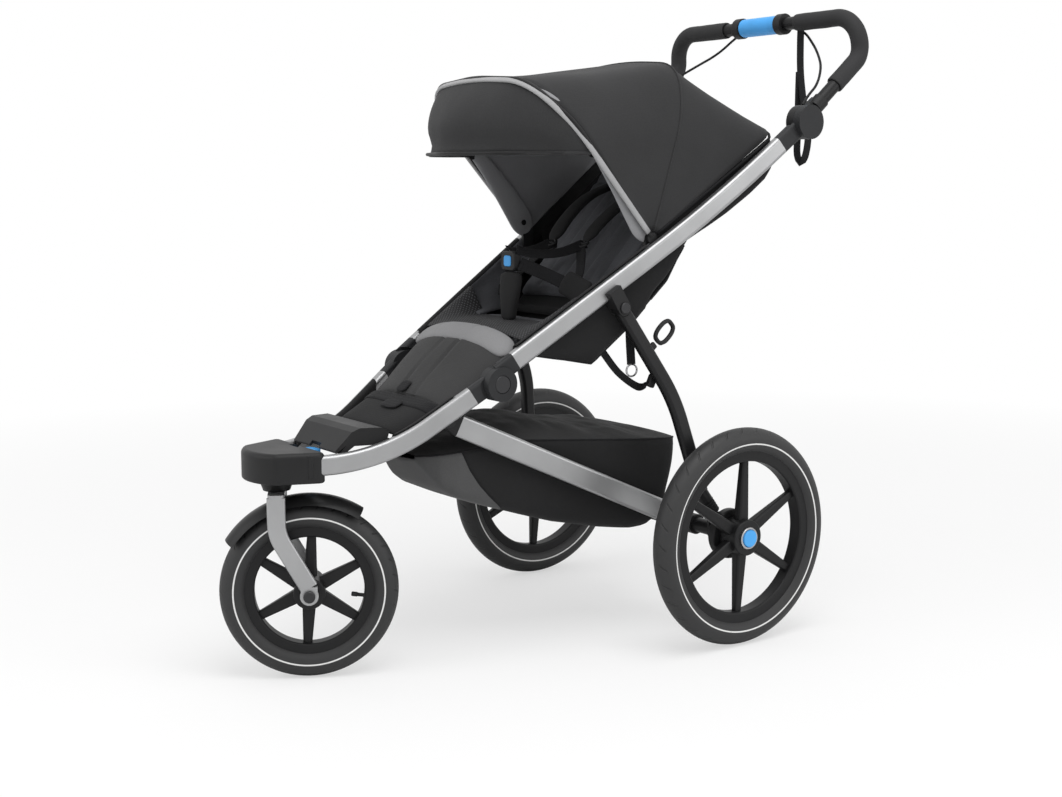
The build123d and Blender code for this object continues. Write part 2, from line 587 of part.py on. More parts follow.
FENDER_EDGE_R = FENDER_R - FENDER_DROP
lean = radians(FENDER_FRONT)
fender_radial = Vector(0, 0, 1) * cos(lean) - trail_dir * sin(lean)
fender_section = Plane(origin=front_centre_point, x_dir=wheel_axis, z_dir=wheel_axis.cross(fender_radial))
with BuildPart() as fender:
    with BuildSketch(fender_section):
        with BuildLine():
            inner_half = FENDER_HALF - FENDER_T
            ThreePointArc((-FENDER_HALF, FENDER_EDGE_R), (0, FENDER_R), (FENDER_HALF, FENDER_EDGE_R))
            Line((FENDER_HALF, FENDER_EDGE_R), (inner_half, FENDER_EDGE_R))
            ThreePointArc((inner_half, FENDER_EDGE_R), (0, FENDER_R - FENDER_T), (-inner_half, FENDER_EDGE_R))
            Line((-inner_half, FENDER_EDGE_R), (-FENDER_HALF, FENDER_EDGE_R))
        make_face()
    revolve(axis=Axis(front_centre_point, -wheel_axis), revolution_arc=FENDER_FRONT + FENDER_REAR)
    boss_z = CROWN_BOTTOM - 8
    with BuildSketch(Plane.XY.offset(boss_z)):
        with Locations((0, STEER_Y)):
            Circle(9)
    extrude(amount=CROWN_BOTTOM - boss_z)
finish(fender, "fender")

# ==== wheels ======================================================================================
TYRE_DEPTH = TYRE_SECTION_R - TYRE_WALL


def wheel_section(plane):
    """Plane through a wheel's axle: sketch x is the radius, sketch y runs along the axle."""
    return Plane(origin=plane.origin, x_dir=plane.x_dir, z_dir=-plane.y_dir)


def wheel_rim(plane, radius, rim_in, hub_in, hub_out, hub_r, first_spoke):
    """Rim, six tapered spokes and hub of a wheel; the hub runs from hub_in to hub_out."""
    seat = radius - RIM_DROP
    axle = Axis(plane.origin, plane.z_dir)
    with BuildPart() as rim:
        with BuildSketch(wheel_section(plane)):
            with Locations(((rim_in + seat) / 2, 0)):
                Rectangle(seat - rim_in, 2 * RIM_HALF_W)
        revolve(axis=axle)
        inner_edges = rim.edges().filter_by(GeomType.CIRCLE).filter_by(lambda e: abs(e.radius - rim_in) < 0.01)
        fillet(inner_edges, 4)
        with BuildSketch(Plane(origin=plane.origin + plane.z_dir * hub_in, x_dir=plane.x_dir, z_dir=plane.z_dir)):
            Circle(hub_r)
        extrude(amount=hub_out - hub_in)
        hub_edges = rim.edges().filter_by(GeomType.CIRCLE).filter_by(lambda e: abs(e.radius - hub_r) < 0.01)
        fillet(hub_edges, 3)
        for index in range(SPOKES):
            angle = radians(first_spoke + index * 360 / SPOKES)
            along = plane.x_dir * cos(angle) + plane.y_dir * sin(angle)
            across = plane.y_dir * cos(angle) - plane.x_dir * sin(angle)
            root = plane.origin + along * (hub_r - 8)
            tip = plane.origin + along * (rim_in + 4)
            with BuildSketch(Plane(origin=root, x_dir=across, z_dir=along)):
                RectangleRounded(24, 20, 5)
            with BuildSketch(Plane(origin=tip, x_dir=across, z_dir=along)):
                RectangleRounded(15, 12, 4)
            loft()
        with BuildSketch(Plane(origin=plane.origin + plane.z_dir * hub_in, x_dir=plane.x_dir, z_dir=plane.z_dir)):
            Circle(AXLE_R + RUN)
        extrude(amount=hub_out - hub_in, mode=Mode.SUBTRACT)
    return rim


def wheel_tyre(plane, radius):
    """Tyre of a wheel: a round section, hollow, that stands on the rim's seat."""
    middle = radius - TYRE_SECTION_R
    seat = radius - RIM_DROP
    with BuildPart() as tyre:
        with BuildSketch(wheel_section(plane)):
            with Locations((middle, 0)):
                Circle(TYRE_SECTION_R)
                Circle(TYRE_DEPTH, mode=Mode.SUBTRACT)
            with Locations((seat - TYRE_SECTION_R, 0)):
                Rectangle(2 * TYRE_SECTION_R, 3 * TYRE_SECTION_R, mode=Mode.SUBTRACT)
        revolve(axis=Axis(plane.origin, plane.z_dir))
    return tyre


front_wheel_plane = Plane(origin=front_centre_point, x_dir=trail_dir, z_dir=wheel_axis)
front_rim = wheel_rim(
    front_wheel_plane, FRONT_R, FRONT_RIM_IN, -FRONT_HUB_HALF, FRONT_HUB_HALF, FRONT_HUB_R, 90 + SPOKE_LEAN)
finish(front_rim, "front_rim")
front_tyre = wheel_tyre(front_wheel_plane, FRONT_R)
finish(front_tyre, "front_tyre")

rear_wheel_plane = Plane(origin=(TRACK_HALF, 0, REAR_R), x_dir=(0, 1, 0), z_dir=(1, 0, 0))
RECESS_DEPTH = 6.0
HUB_OUT = REAR_HUB_HALF + 1.5
rear_rim_left = wheel_rim(
    rear_wheel_plane, REAR_R, REAR_RIM_IN, -REAR_HUB_HALF, HUB_OUT, REAR_HUB_R, 90 + SPOKE_LEAN)
with BuildPart() as rear_rim_left_bored:
    add(rear_rim_left.part)
    with BuildSketch(side_plane(TRACK_HALF + HUB_OUT)):
        with Locations((0, REAR_R)):
            Circle(BUTTON_R + GAP)
    extrude(amount=-RECESS_DEPTH, mode=Mode.SUBTRACT)
finish(rear_rim_left_bored, "rear_rim_left")
finish(mirrored(rear_rim_left_bored), "rear_rim_right")
rear_tyre_left = wheel_tyre(rear_wheel_plane, REAR_R)
finish(rear_tyre_left, "rear_tyre_left")
finish(mirrored(rear_tyre_left), "rear_tyre_right")

with BuildPart() as hub_cap_left:
    with BuildSketch(side_plane(TRACK_HALF + HUB_OUT)):
        with Locations((0, REAR_R)):
            Circle(CAP_R)
            Circle(BUTTON_R + GAP, mode=Mode.SUBTRACT)
    extrude(amount=CAP_PROUD)
    chamfer(hub_cap_left.edges().filter_by(GeomType.CIRCLE).group_by(Axis.X)[-1], 1)
finish(hub_cap_left, "hub_cap_left")
finish(mirrored(hub_cap_left), "hub_cap_right")

button_inner = TRACK_HALF + HUB_OUT - RECESS_DEPTH + BUTTON_TRAVEL + 1
button_outer = TRACK_HALF + HUB_OUT + CAP_PROUD + BUTTON_PROUD
with BuildPart() as axle_button_left:
    with BuildSketch(side_plane(button_inner)):
        with Locations((0, REAR_R)):
            Circle(BUTTON_R)
    extrude(amount=button_outer - button_inner)
    fillet(axle_button_left.edges().filter_by(GeomType.CIRCLE).sort_by(Axis.X)[-1], 1.8)
finish(axle_button_left, "axle_button_left")
finish(mirrored(axle_button_left), "axle_button_right")

# ==== leg clevises under the upper tubes ==========================================================
CLEVIS_T, CLEVIS_R, CLEVIS_RISE = 4.0, 14.0, 40.0
LEG_X, LEG_Y, LEG_Z = LEG_TOP
clevis_in = LEG_X - LEG_W / 2 - GAP - CLEVIS_T
clevis_w = LEG_W + 2 * GAP + 2 * CLEVIS_T
slope = radians(UPPER_RISE)
with BuildPart() as leg_clevis:
    clevis_plane = Plane(origin=(clevis_in, LEG_Y, LEG_Z), x_dir=(0, cos(slope), sin(slope)), z_dir=(1, 0, 0))
    with BuildSketch(clevis_plane):
        Circle(CLEVIS_R)
        with Locations((0, CLEVIS_RISE / 2)):
            Rectangle(2 * CLEVIS_R, CLEVIS_RISE)
    extrude(amount=clevis_w)
    slot_plane = Plane(
        origin=(clevis_in + CLEVIS_T, LEG_Y, LEG_Z), x_dir=(0, cos(slope), sin(slope)), z_dir=(1, 0, 0))
    with BuildSketch(slot_plane):
        Circle(LEG_EYE_R + 1.5)
        with Locations((0, -LEG_EYE_R)):
            Rectangle(4 * LEG_EYE_R, 2 * LEG_EYE_R)
    extrude(amount=LEG_W + 2 * GAP, mode=Mode.SUBTRACT)
    with BuildSketch(clevis_plane):
        Circle(LEG_PIN_R)
    extrude(amount=clevis_w, mode=Mode.SUBTRACT)
    add(upper_envelope.part, mode=Mode.SUBTRACT)

with BuildPart() as leg_pin:
    with BuildSketch(side_plane(clevis_in)):
        with Locations((LEG_Y, LEG_Z)):
            Circle(LEG_PIN_R)
    extrude(amount=clevis_w)
    with BuildSketch(side_plane(clevis_in + clevis_w)):
        with Locations((LEG_Y, LEG_Z)):
            Circle(LEG_PIN_R + 4)
    extrude(amount=3.5)
    chamfer(leg_pin.edges().filter_by(GeomType.CIRCLE).sort_by(Axis.X)[-1], 1)

# ==== handle hub: socket on the upper tube ==========================================================
HANDLE_SWEEP_R, HANDLE_PIN_R = 38.0, 9.0
HANDLE_SLEEVE, HANDLE_PLUG = 52.0, 26.0
handle_fixed_x = HANDLE_X + GAP / 2
top_section = Plane(origin=upper_top, x_dir=upper_plane.z_dir, z_dir=upper_top_dir)
with BuildPart() as handle_hub_left:
    with BuildSketch(top_section):
        RectangleRounded(TUBE_W, TUBE_H, TUBE_R)
    extrude(amount=HANDLE_SLEEVE)
    with BuildSketch(top_section):
        RectangleRounded(
            TUBE_W - 2 * TUBE_WALL - 2 * PLUG_PLAY, TUBE_H - 2 * TUBE_WALL - 2 * PLUG_PLAY,
            TUBE_R - TUBE_WALL - PLUG_PLAY)
    extrude(amount=-HANDLE_PLUG)
    with BuildSketch(side_plane(handle_fixed_x)):
        with Locations((HANDLE_Y, HANDLE_Z)):
            Circle(HANDLE_SWEEP_R)
    extrude(amount=-2 * TUBE_W, mode=Mode.SUBTRACT)
    with BuildSketch(side_plane(handle_fixed_x)):
        with Locations((HANDLE_Y, HANDLE_Z)):
            Circle(HANDLE_DISC_R)
    extrude(amount=HANDLE_DISC_T)
    with BuildSketch(side_plane(handle_fixed_x)):
        with Locations((HANDLE_Y, HANDLE_Z)):
            Circle(HANDLE_PIN_R)
    extrude(amount=HANDLE_DISC_T - 4, mode=Mode.SUBTRACT)
finish(pair(handle_hub_left), "handle_hubs")

# ==== seat shell, pad and recline rod ===============================================================
SHELL_HEM_END = 0.68      # the side walls are hemmed to this share of the tube
MOUNT_HALF, MOUNT_DROP = 12.0, 40.0   # canopy mounts pass through notches of the side walls
with BuildSketch() as shell_wall_side:
    with BuildLine():
        hem = [upper_centre.line @ t for t in (SHELL_HEM_END, SHELL_HEM_END / 2, 0)]
        Polyline(*SEAT_UNDER, *[(point.Y, point.Z) for point in hem], close=True)
    make_face()
wall_offset = TUBE_W / 2 + SEAT_GAP
with BuildPart() as shell_wall:
    with BuildSketch(side_plane(0)):
        add(shell_wall_side.sketch)
    extrude(amount=2 * HUB_X)
    with BuildSketch(Plane.XY):
        with BuildLine():
            outer_low = tube_x(-400, UPPER_TOE) - wall_offset / cos(radians(UPPER_TOE))
            outer_high = tube_x(0, UPPER_TOE) - wall_offset / cos(radians(UPPER_TOE))
            Polyline(
                (outer_low, -400), (outer_high, 0), (outer_high - SHELL_T, 0), (outer_low - SHELL_T, -400),
                close=True)
        make_face()
    extrude(amount=2000, mode=Mode.INTERSECT)

with BuildSketch() as shell_floor_side:
    with BuildLine():
        Polyline(*SEAT_UNDER[:4])
    trace(line_width=2 * SHELL_T)
shell_floor = between_tubes(shell_floor_side, SEAT_GAP, -400, -100, UPPER_TOE)
with BuildPart() as seat_shell:
    add(shell_floor.part)
    add(shell_wall.part)
    mirror(shell_wall.part, about=Plane.YZ)
    with BuildSketch(Plane.XY.offset(CANOPY_Z - MOUNT_DROP - SEAT_GAP)):
        with Locations((0, CANOPY_Y)):
            Rectangle(4 * HUB_X, 2 * (MOUNT_HALF + SEAT_GAP))
    extrude(amount=2 * MOUNT_DROP, mode=Mode.SUBTRACT)
finish(seat_shell, "seat_shell")

CHANNEL_PITCH, CHANNEL_DEPTH = 56.0, 3.0
with BuildPart() as seat_pad:
    pad_low = [(y, z + SHELL_T / cos(radians(38)) + SEAT_GAP) for y, z in SEAT_UNDER[1:3]]
    with BuildSketch(side_plane(-PAD_HALF)):
        with BuildLine():
            Polyline((PAD_FRONT, PAD_TOP - 12), (PAD_FRONT, pad_low[0][1] + 5), pad_low[0], pad_low[1],
                     (PAD_REAR, pad_low[1][1] + 40), (PAD_REAR, PAD_TOP - 8))
            ThreePointArc((PAD_REAR, PAD_TOP - 8), ((PAD_FRONT + PAD_REAR) / 2, PAD_TOP), (PAD_FRONT, PAD_TOP - 12))
        make_face()
    extrude(amount=2 * PAD_HALF)
    for row in range(-1, 2):
        with BuildSketch(Plane.XZ.offset(-PAD_FRONT + 10)):
            with Locations((row * CHANNEL_PITCH, PAD_TOP + CHANNEL_DEPTH)):
                Circle(2 * CHANNEL_DEPTH)
        extrude(amount=-2 * abs(PAD_FRONT), mode=Mode.SUBTRACT)
finish(seat_pad, "seat_pad")

shell_inner_half = tube_x(RECLINE_Y - RECLINE_R, UPPER_TOE) - wall_offset / cos(radians(UPPER_TOE)) - SHELL_T
with BuildPart() as recline_rod:
    with BuildSketch(side_plane(-shell_inner_half)):
        with Locations((RECLINE_Y, RECLINE_Z)):
            Circle(RECLINE_R)
    extrude(amount=2 * shell_inner_half)

# ==== harness =====================================================================================
CROTCH_W, CROTCH_T = 44.0, 16.0
with BuildPart() as crotch_pad:
    with BuildSketch(side_plane(-CROTCH_W / 2)):
        with BuildLine():
            Polyline((BUCKLE[1] + 3, BUCKLE[2] - BUCKLE_LOW - 3 * SEAT_GAP), (BUCKLE[1] - 6, PAD_TOP + SEAT_GAP))
        trace(line_width=CROTCH_T)
    extrude(amount=CROTCH_W)
    with BuildSketch(Plane.XY.offset(PAD_TOP + SEAT_GAP)):
        with Locations((0, BUCKLE[1])):
            Rectangle(2 * CROTCH_W, 4 * CROTCH_T)
    extrude(amount=200, mode=Mode.INTERSECT)
    fillet(crotch_pad.edges().filter_by(lambda e: e.length > 80), 6)
finish(crotch_pad, "crotch_pad")

BUCKLE_W, BUCKLE_H, BUCKLE_T = 44.0, 36.0, 14.0
BUCKLE_BUTTON_W, BUCKLE_BUTTON_H, BUTTON_DEPTH = 22.0, 20.0, 6.0
buckle_plane = Plane(
    origin=(0, BUCKLE[1] - BUCKLE_T / 2, BUCKLE[2] - BUCKLE_LOW + BUCKLE_H / 2), x_dir=(1, 0, 0), z_dir=(0, -1, 0))
with BuildPart() as buckle_housing:
    with BuildSketch(buckle_plane):
        RectangleRounded(BUCKLE_W, BUCKLE_H, 9)
    extrude(amount=-BUCKLE_T)
    chamfer(buckle_housing.faces().sort_by(Axis.Y)[0].edges(), 2)
    with BuildSketch(buckle_plane):
        RectangleRounded(BUCKLE_BUTTON_W + 2 * GAP, BUCKLE_BUTTON_H + 2 * GAP, 5 + GAP)
    extrude(amount=-BUTTON_DEPTH - 3, mode=Mode.SUBTRACT)
finish(buckle_housing, "buckle_housing")
with BuildPart() as buckle_button:
    with BuildSketch(buckle_plane.offset(1.5)):
        RectangleRounded(BUCKLE_BUTTON_W, BUCKLE_BUTTON_H, 5)
    extrude(amount=-BUTTON_DEPTH)
    chamfer(buckle_button.faces().sort_by(Axis.Y)[0].edges(), 0.8)
finish(buckle_button, "buckle_button")

# ==== backrest ====================================================================================
back_slope = radians(BACK_ANGLE)
back_along = Vector(0, cos(back_slope), sin(back_slope))
back_front = Vector(0, -sin(back_slope), cos(back_slope))
back_origin = Vector(0, RECLINE_Y, RECLINE_Z)
back_plane = Plane(origin=back_origin - back_front * BACK_T / 2, x_dir=(1, 0, 0), z_dir=back_front)
with BuildPart() as back_board:
    with BuildSketch(back_plane):
        with BuildLine():
            Polyline(
                (-BACK_HALF_LOW, 0), (BACK_HALF_LOW, 0), (BACK_HALF_TOP, BACK_LENGTH),
                (-BACK_HALF_TOP, BACK_LENGTH), close=True)
        make_face()
    extrude(amount=BACK_T)
    fillet(back_board.edges().filter_by(lambda e: abs(e.length - BACK_T) < 0.01).group_by(Axis.Z)[-1], 40)
    with BuildSketch(side_plane(-BACK_HALF_LOW)):
        with Locations((RECLINE_Y, RECLINE_Z)):
            Circle(RECLINE_R + 3.5)
    extrude(amount=2 * BACK_HALF_LOW)
    with BuildSketch(side_plane(-BACK_HALF_LOW - 5)):
        with Locations((RECLINE_Y, RECLINE_Z)):
            Circle(RECLINE_R + RUN)
    extrude(amount=2 * BACK_HALF_LOW + 10, mode=Mode.SUBTRACT)
finish(back_board, "back_board")

with BuildPart() as back_pad:
    pad_plane = back_plane.offset(BACK_T)
    with BuildSketch(pad_plane):
        with BuildLine():
            Polyline(
                (5 - BACK_HALF_LOW, 22), (BACK_HALF_LOW - 5, 22), (BACK_HALF_TOP - 5, BACK_LENGTH - 8),
                (5 - BACK_HALF_TOP, BACK_LENGTH - 8), close=True)
        make_face()
    extrude(amount=BACK_PAD_T)
    fillet(back_pad.edges().filter_by(lambda e: abs(e.length - BACK_PAD_T) < 0.01).group_by(Axis.Z)[-1], 34)
    fillet(back_pad.faces().sort_by(Axis((0, 0, 0), (0, -1, 1)))[-1].edges(), 5)
    for row in range(-2, 3):
        groove = Plane(
            origin=back_origin + back_front * (BACK_T / 2 + BACK_PAD_T + CHANNEL_DEPTH) + Vector(row * CHANNEL_PITCH, 0, 0),
            x_dir=(1, 0, 0), z_dir=back_along)
        with BuildSketch(groove):
            Circle(2 * CHANNEL_DEPTH)
        extrude(amount=BACK_LENGTH, mode=Mode.SUBTRACT)
finish(back_pad, "back_pad")

POUCH = ((-60, 697), (16, 763), (119, 828), (172, 856))
POUCH_HALF = 190.0
with BuildPart() as rear_pouch:
    board_back = back_origin - back_front * (BACK_T / 2 + SEAT_GAP)
    top_back = board_back + back_along * (BACK_LENGTH - 10)
    low_back = board_back + back_along * 190
    with BuildSketch(side_plane(-POUCH_HALF)):
        with BuildLine():
            Polyline(
                (low_back.Y, low_back.Z), (low_back.Y + 12, low_back.Z - 6), POUCH[2], POUCH[3],
                (POUCH[3][0] - 6, POUCH[3][1] + 12), (top_back.Y, top_back.Z), close=True)
        make_face()
    extrude(amount=2 * POUCH_HALF)
finish(rear_pouch, "rear_pouch")

# ==== canopy mounts, bow, cloth and visor ==========================================================
bow_dir = Vector(0, cos(radians(BOW_ANGLE)), sin(radians(BOW_ANGLE)))
canopy_origin = Vector(0, CANOPY_Y, CANOPY_Z)


def canopy_plane(angle, shift=0.0):
    """Plane through the canopy's pivot line at an angle: sketch x is across, sketch y outward."""
    out = Vector(0, cos(radians(angle)), sin(radians(angle)))
    back = Vector(0, sin(radians(angle)), -cos(radians(angle)))
    return Plane(origin=canopy_origin + back * shift, x_dir=(1, 0, 0), z_dir=Vector(1, 0, 0).cross(out))


def arch_face(arch, inset, base, corner_radii):
    """Closed face under an arch, set in from it, with its straight base `base` up the plane."""
    (side_x, _), (shoulder_x, shoulder_y), (crown_x, crown_y), (_, top) = arch
    points = [
        (side_x - inset, base), (shoulder_x - inset, shoulder_y), (crown_x - inset * 0.6, crown_y - inset * 0.8),
        (0, top - inset), (inset * 0.6 - crown_x, crown_y - inset * 0.8), (inset - shoulder_x, shoulder_y),
        (inset - side_x, base)]
    with BuildSketch() as sketch:
        with BuildLine():
            arch_line = FilletPolyline(*points, radius=corner_radii)
            Line(arch_line @ 1, arch_line @ 0)
        make_face()
    return sketch


ARCH_RADII = [110, 80, 400, 80, 110]
EYE_R, EYE_T, EYE_PIN_R = 10.0, 5.7, 4.0
MOUNT_T, MOUNT_R = 7.0, 12.0
eye_x = BOW_ARCH[0][0] - BOW_R
VISOR_WIRE_R, VISOR_EYE_R, VISOR_EYE_T, VISOR_PIN_R = 3.0, 8.0, 4.0, 3.0
visor_origin = canopy_origin + bow_dir * VISOR_REACH
visor_eye_x = eye_x - GAP - VISOR_EYE_T
with BuildPart() as canopy_bow:
    arch = BOW_ARCH
    mirrored_arch = [(-x, y) for x, y in reversed(arch[:-1])]
    with BuildLine(canopy_plane(BOW_ANGLE)) as bow_path:
        FilletPolyline((arch[0][0], 4), *arch[1:-1], arch[-1], *mirrored_arch[:-1], (-arch[0][0], 4), radius=ARCH_RADII)
    with BuildSketch(Plane(origin=bow_path.line @ 0, x_dir=(1, 0, 0), z_dir=bow_path.line % 0)):
        Circle(BOW_R)
    sweep()
    for side in (-1, 1):
        with BuildSketch(side_plane(side * eye_x)):
            with Locations((CANOPY_Y, CANOPY_Z)):
                Circle(EYE_R)
        extrude(amount=side * EYE_T)
        with BuildSketch(side_plane(side * (eye_x - 10))):
            with Locations((CANOPY_Y, CANOPY_Z)):
                Circle(EYE_PIN_R + RUN)
        extrude(amount=side * 30, mode=Mode.SUBTRACT)
        with BuildSketch(side_plane(side * (visor_eye_x - 0.4))):
            with Locations((visor_origin.Y, visor_origin.Z)):
                Circle(VISOR_PIN_R)
        extrude(amount=side * (VISOR_EYE_T + BOW_R + 0.8))
        with BuildSketch(side_plane(side * (visor_eye_x - 0.4))):
            with Locations((visor_origin.Y, visor_origin.Z)):
                Circle(VISOR_PIN_R + 2)
        extrude(amount=-side * 1.5)
finish(canopy_bow, "canopy_bow")

CANOPY_BACKSET = BOW_R + 0.4
with BuildPart() as canopy_skin:
    for inset, mode, nudge in ((0, Mode.ADD, 0.0), (CANOPY_T, Mode.SUBTRACT, 0.5)):
        base = CANOPY_START - (6 if nudge else 0)
        sections = (
            (BOW_ARCH, canopy_plane(BOW_ANGLE, CANOPY_BACKSET - nudge)),
            (MID_ARCH, canopy_plane(MID_ANGLE)),
            (REAR_ARCH, canopy_plane(REAR_ANGLE, nudge)))
        for arch, plane in sections:
            radii = [90, 60, 300, 60, 90] if arch is not REAR_ARCH else [30, 20, 300, 20, 30]
            with BuildSketch(plane):
                add(arch_face(arch, inset, base, radii).sketch)
        loft(ruled=True, mode=mode)
finish(canopy_skin, "canopy_skin")

with BuildPart() as canopy_mount:
    cheek_x = eye_x - GAP - MOUNT_T
    with BuildSketch(side_plane(cheek_x)):
        with Locations((CANOPY_Y, CANOPY_Z)):
            Circle(MOUNT_R)
        with Locations((CANOPY_Y, CANOPY_Z - MOUNT_DROP / 2)):
            Rectangle(2 * MOUNT_HALF, MOUNT_DROP)
    extrude(amount=MOUNT_T)
    with BuildSketch(side_plane(cheek_x)):
        with Locations((CANOPY_Y, CANOPY_Z - MOUNT_DROP * 0.72)):
            Rectangle(2 * MOUNT_HALF, MOUNT_DROP * 0.56)
    extrude(amount=MOUNT_T + TUBE_W * 0.7)
    with BuildSketch(side_plane(cheek_x)):
        with Locations((CANOPY_Y, CANOPY_Z)):
            Circle(EYE_PIN_R)
    extrude(amount=MOUNT_T + GAP + EYE_T)
    add(upper_envelope.part, mode=Mode.SUBTRACT)
with BuildPart() as tube_brackets:
    add(pair(leg_clevis).part)
    add(pair(canopy_mount).part)
finish(tube_brackets, "tube_brackets")

# ==== visor =======================================================================================
def visor_plane(angle):
    """Plane through the visor's pivot line at an angle: sketch x is across, sketch y outward."""
    out = Vector(0, cos(radians(angle)), sin(radians(angle)))
    return Plane(origin=visor_origin, x_dir=(1, 0, 0), z_dir=Vector(1, 0, 0).cross(out))


with BuildPart() as visor_wire:
    arch = VISOR_ARCH
    wire_x = visor_eye_x + VISOR_WIRE_R
    with BuildLine(visor_plane(VISOR_ANGLE)) as wire_path:
        FilletPolyline(
            (wire_x, 4), arch[1], arch[2], arch[3], (-arch[2][0], arch[2][1]), (-arch[1][0], arch[1][1]),
            (-wire_x, 4), radius=[60, 80, 120, 80, 60])
    with BuildSketch(Plane(origin=wire_path.line @ 0, x_dir=(1, 0, 0), z_dir=wire_path.line % 0)):
        Circle(VISOR_WIRE_R)
    sweep()
    for side in (-1, 1):
        with BuildSketch(side_plane(side * visor_eye_x)):
            with Locations((visor_origin.Y, visor_origin.Z)):
                Circle(VISOR_EYE_R)
        extrude(amount=side * VISOR_EYE_T)
        with BuildSketch(side_plane(side * (visor_eye_x - 1))):
            with Locations((visor_origin.Y, visor_origin.Z)):
                Circle(VISOR_PIN_R + RUN)
        extrude(amount=side * (VISOR_EYE_T + 2), mode=Mode.SUBTRACT)
finish(visor_wire, "visor_wire")

VISOR_TOP_ARCH = (
    (200.6, 0.0), (BOW_ARCH[1][0], BOW_ARCH[1][1] - VISOR_REACH), (BOW_ARCH[2][0], BOW_ARCH[2][1] - VISOR_REACH),
    (0.0, BOW_ARCH[3][1] - VISOR_REACH))
VISOR_BASE = VISOR_EYE_R + 2.0
with BuildPart() as visor_skin:
    for inset, mode, nudge in ((0, Mode.ADD, 0.0), (CANOPY_T, Mode.SUBTRACT, 0.5)):
        base = VISOR_BASE - (4 if nudge else 0)
        top_plane = visor_plane(BOW_ANGLE)
        top_plane = top_plane.offset(BOW_R + 0.4 - nudge)
        low_plane = visor_plane(VISOR_ANGLE).offset(-VISOR_WIRE_R - 0.4 + nudge)
        with BuildSketch(top_plane):
            add(arch_face(VISOR_TOP_ARCH, inset, base, [50, 60, 300, 60, 50]).sketch)
        with BuildSketch(low_plane):
            add(arch_face(VISOR_ARCH, inset, base, [50, 60, 120, 60, 50]).sketch)
        loft(ruled=True, mode=mode)
finish(visor_skin, "visor_skin")

# ==== rear legs, shocks and boots ====================================================================
shock_lean = radians(SHOCK_LEAN)
shock_dir = Vector(0, -sin(shock_lean), cos(shock_lean))
shock_foot = Vector(FOOT_X, SHOCK_Y, SHOCK_Z)


def shock_plane(along):
    """Plane square to the shock, `along` it from its foot."""
    return Plane(origin=shock_foot + shock_dir * along, x_dir=(1, 0, 0), z_dir=shock_dir)


SHOCK_BLOCK_R, ROD_IN_LEG = 13.0, 20.0
with BuildPart() as rear_leg_left:
    with BuildLine() as leg_path:
        FilletPolyline(LEG_TOP, LEG_KNEE, LEG_FOOT, radius=LEG_KNEE_R)
    with BuildSketch(section_plane(leg_path.line, 0, (1, 0, 0))):
        RectangleRounded(LEG_W, LEG_D, LEG_R)
    sweep()
    with BuildSketch(side_plane(LEG_X - LEG_W / 2)):
        with Locations((LEG_Y, LEG_Z)):
            Circle(LEG_EYE_R)
    extrude(amount=LEG_W)
    with BuildSketch(shock_plane(SHOCK_BLOCK[0])):
        Circle(SHOCK_BLOCK_R)
    extrude(amount=SHOCK_BLOCK[1] - SHOCK_BLOCK[0])
    with BuildSketch(shock_plane(SHOCK_BLOCK[0] - 60)):
        Circle(SHOCK_ROD_R + RUN)
    extrude(amount=60 + ROD_IN_LEG + SHOCK_TRAVEL + 3, mode=Mode.SUBTRACT)
    with BuildSketch(side_plane(LEG_X + LEG_W / 2)):
        with Locations((LEG_Y, LEG_Z)):
            Circle(CLEVIS_R + 2)
    extrude(amount=LEG_W, mode=Mode.SUBTRACT)
    with BuildSketch(side_plane(LEG_X - LEG_W / 2)):
        with Locations((LEG_Y, LEG_Z)):
            Circle(LEG_PIN_R + RUN)
    extrude(amount=LEG_W, mode=Mode.SUBTRACT)
finish(pair(rear_leg_left), "rear_legs")

with BuildPart() as shock_rod:
    with BuildSketch(side_plane(FOOT_X - FOOT_W / 2)):
        with Locations((SHOCK_Y, SHOCK_Z)):
            Circle(SHOCK_FOOT_R)
    extrude(amount=FOOT_W)
    with BuildSketch(shock_plane(0)):
        Circle(SHOCK_ROD_R)
    extrude(amount=SHOCK_BLOCK[0] + ROD_IN_LEG)
finish(pair(shock_rod), "shock_rods")

BOOT_START = SHOCK_FOOT_R + 3.0
BOOT_RIBS = 5
BOOT_OUT_R, BOOT_IN_R, BOOT_BORE_R = 13.5, 10.5, SHOCK_ROD_R + 0.4
with BuildPart() as boot:
    length = SHOCK_BLOCK[0] - 0.4 - BOOT_START
    pitch = length / BOOT_RIBS
    with BuildSketch(Plane(origin=shock_foot + shock_dir * BOOT_START, x_dir=(1, 0, 0), z_dir=Vector(1, 0, 0).cross(shock_dir))):
        with BuildLine():
            ribs = [(BOOT_BORE_R, 0), (BOOT_IN_R, 0)]
            for index in range(BOOT_RIBS):
                ribs += [(BOOT_OUT_R, (index + 0.5) * pitch), (BOOT_IN_R, (index + 1) * pitch)]
            Polyline(*ribs, (BOOT_BORE_R, length), close=True)
        make_face()
    revolve(axis=Axis(shock_foot, shock_dir))
finish(pair(boot), "shock_boots")

# ==== lower bars ====================================================================================
bar_toe = radians(BAR_TOE)
bar_plane = Plane(
    origin=(BAR_X, BAR_Y, BAR_Z), x_dir=(sin(bar_toe), cos(bar_toe), 0), z_dir=(cos(bar_toe), -sin(bar_toe), 0))
bar_dir = bar_plane.x_dir * cos(radians(BAR_FALL)) - Vector(0, 0, 1) * sin(radians(BAR_FALL))


def bar_section(along):
    """Plane square to the left lower bar, `along` it from its front pivot."""
    return Plane(origin=bar_plane.origin + bar_dir * along, x_dir=bar_plane.z_dir, z_dir=bar_dir)


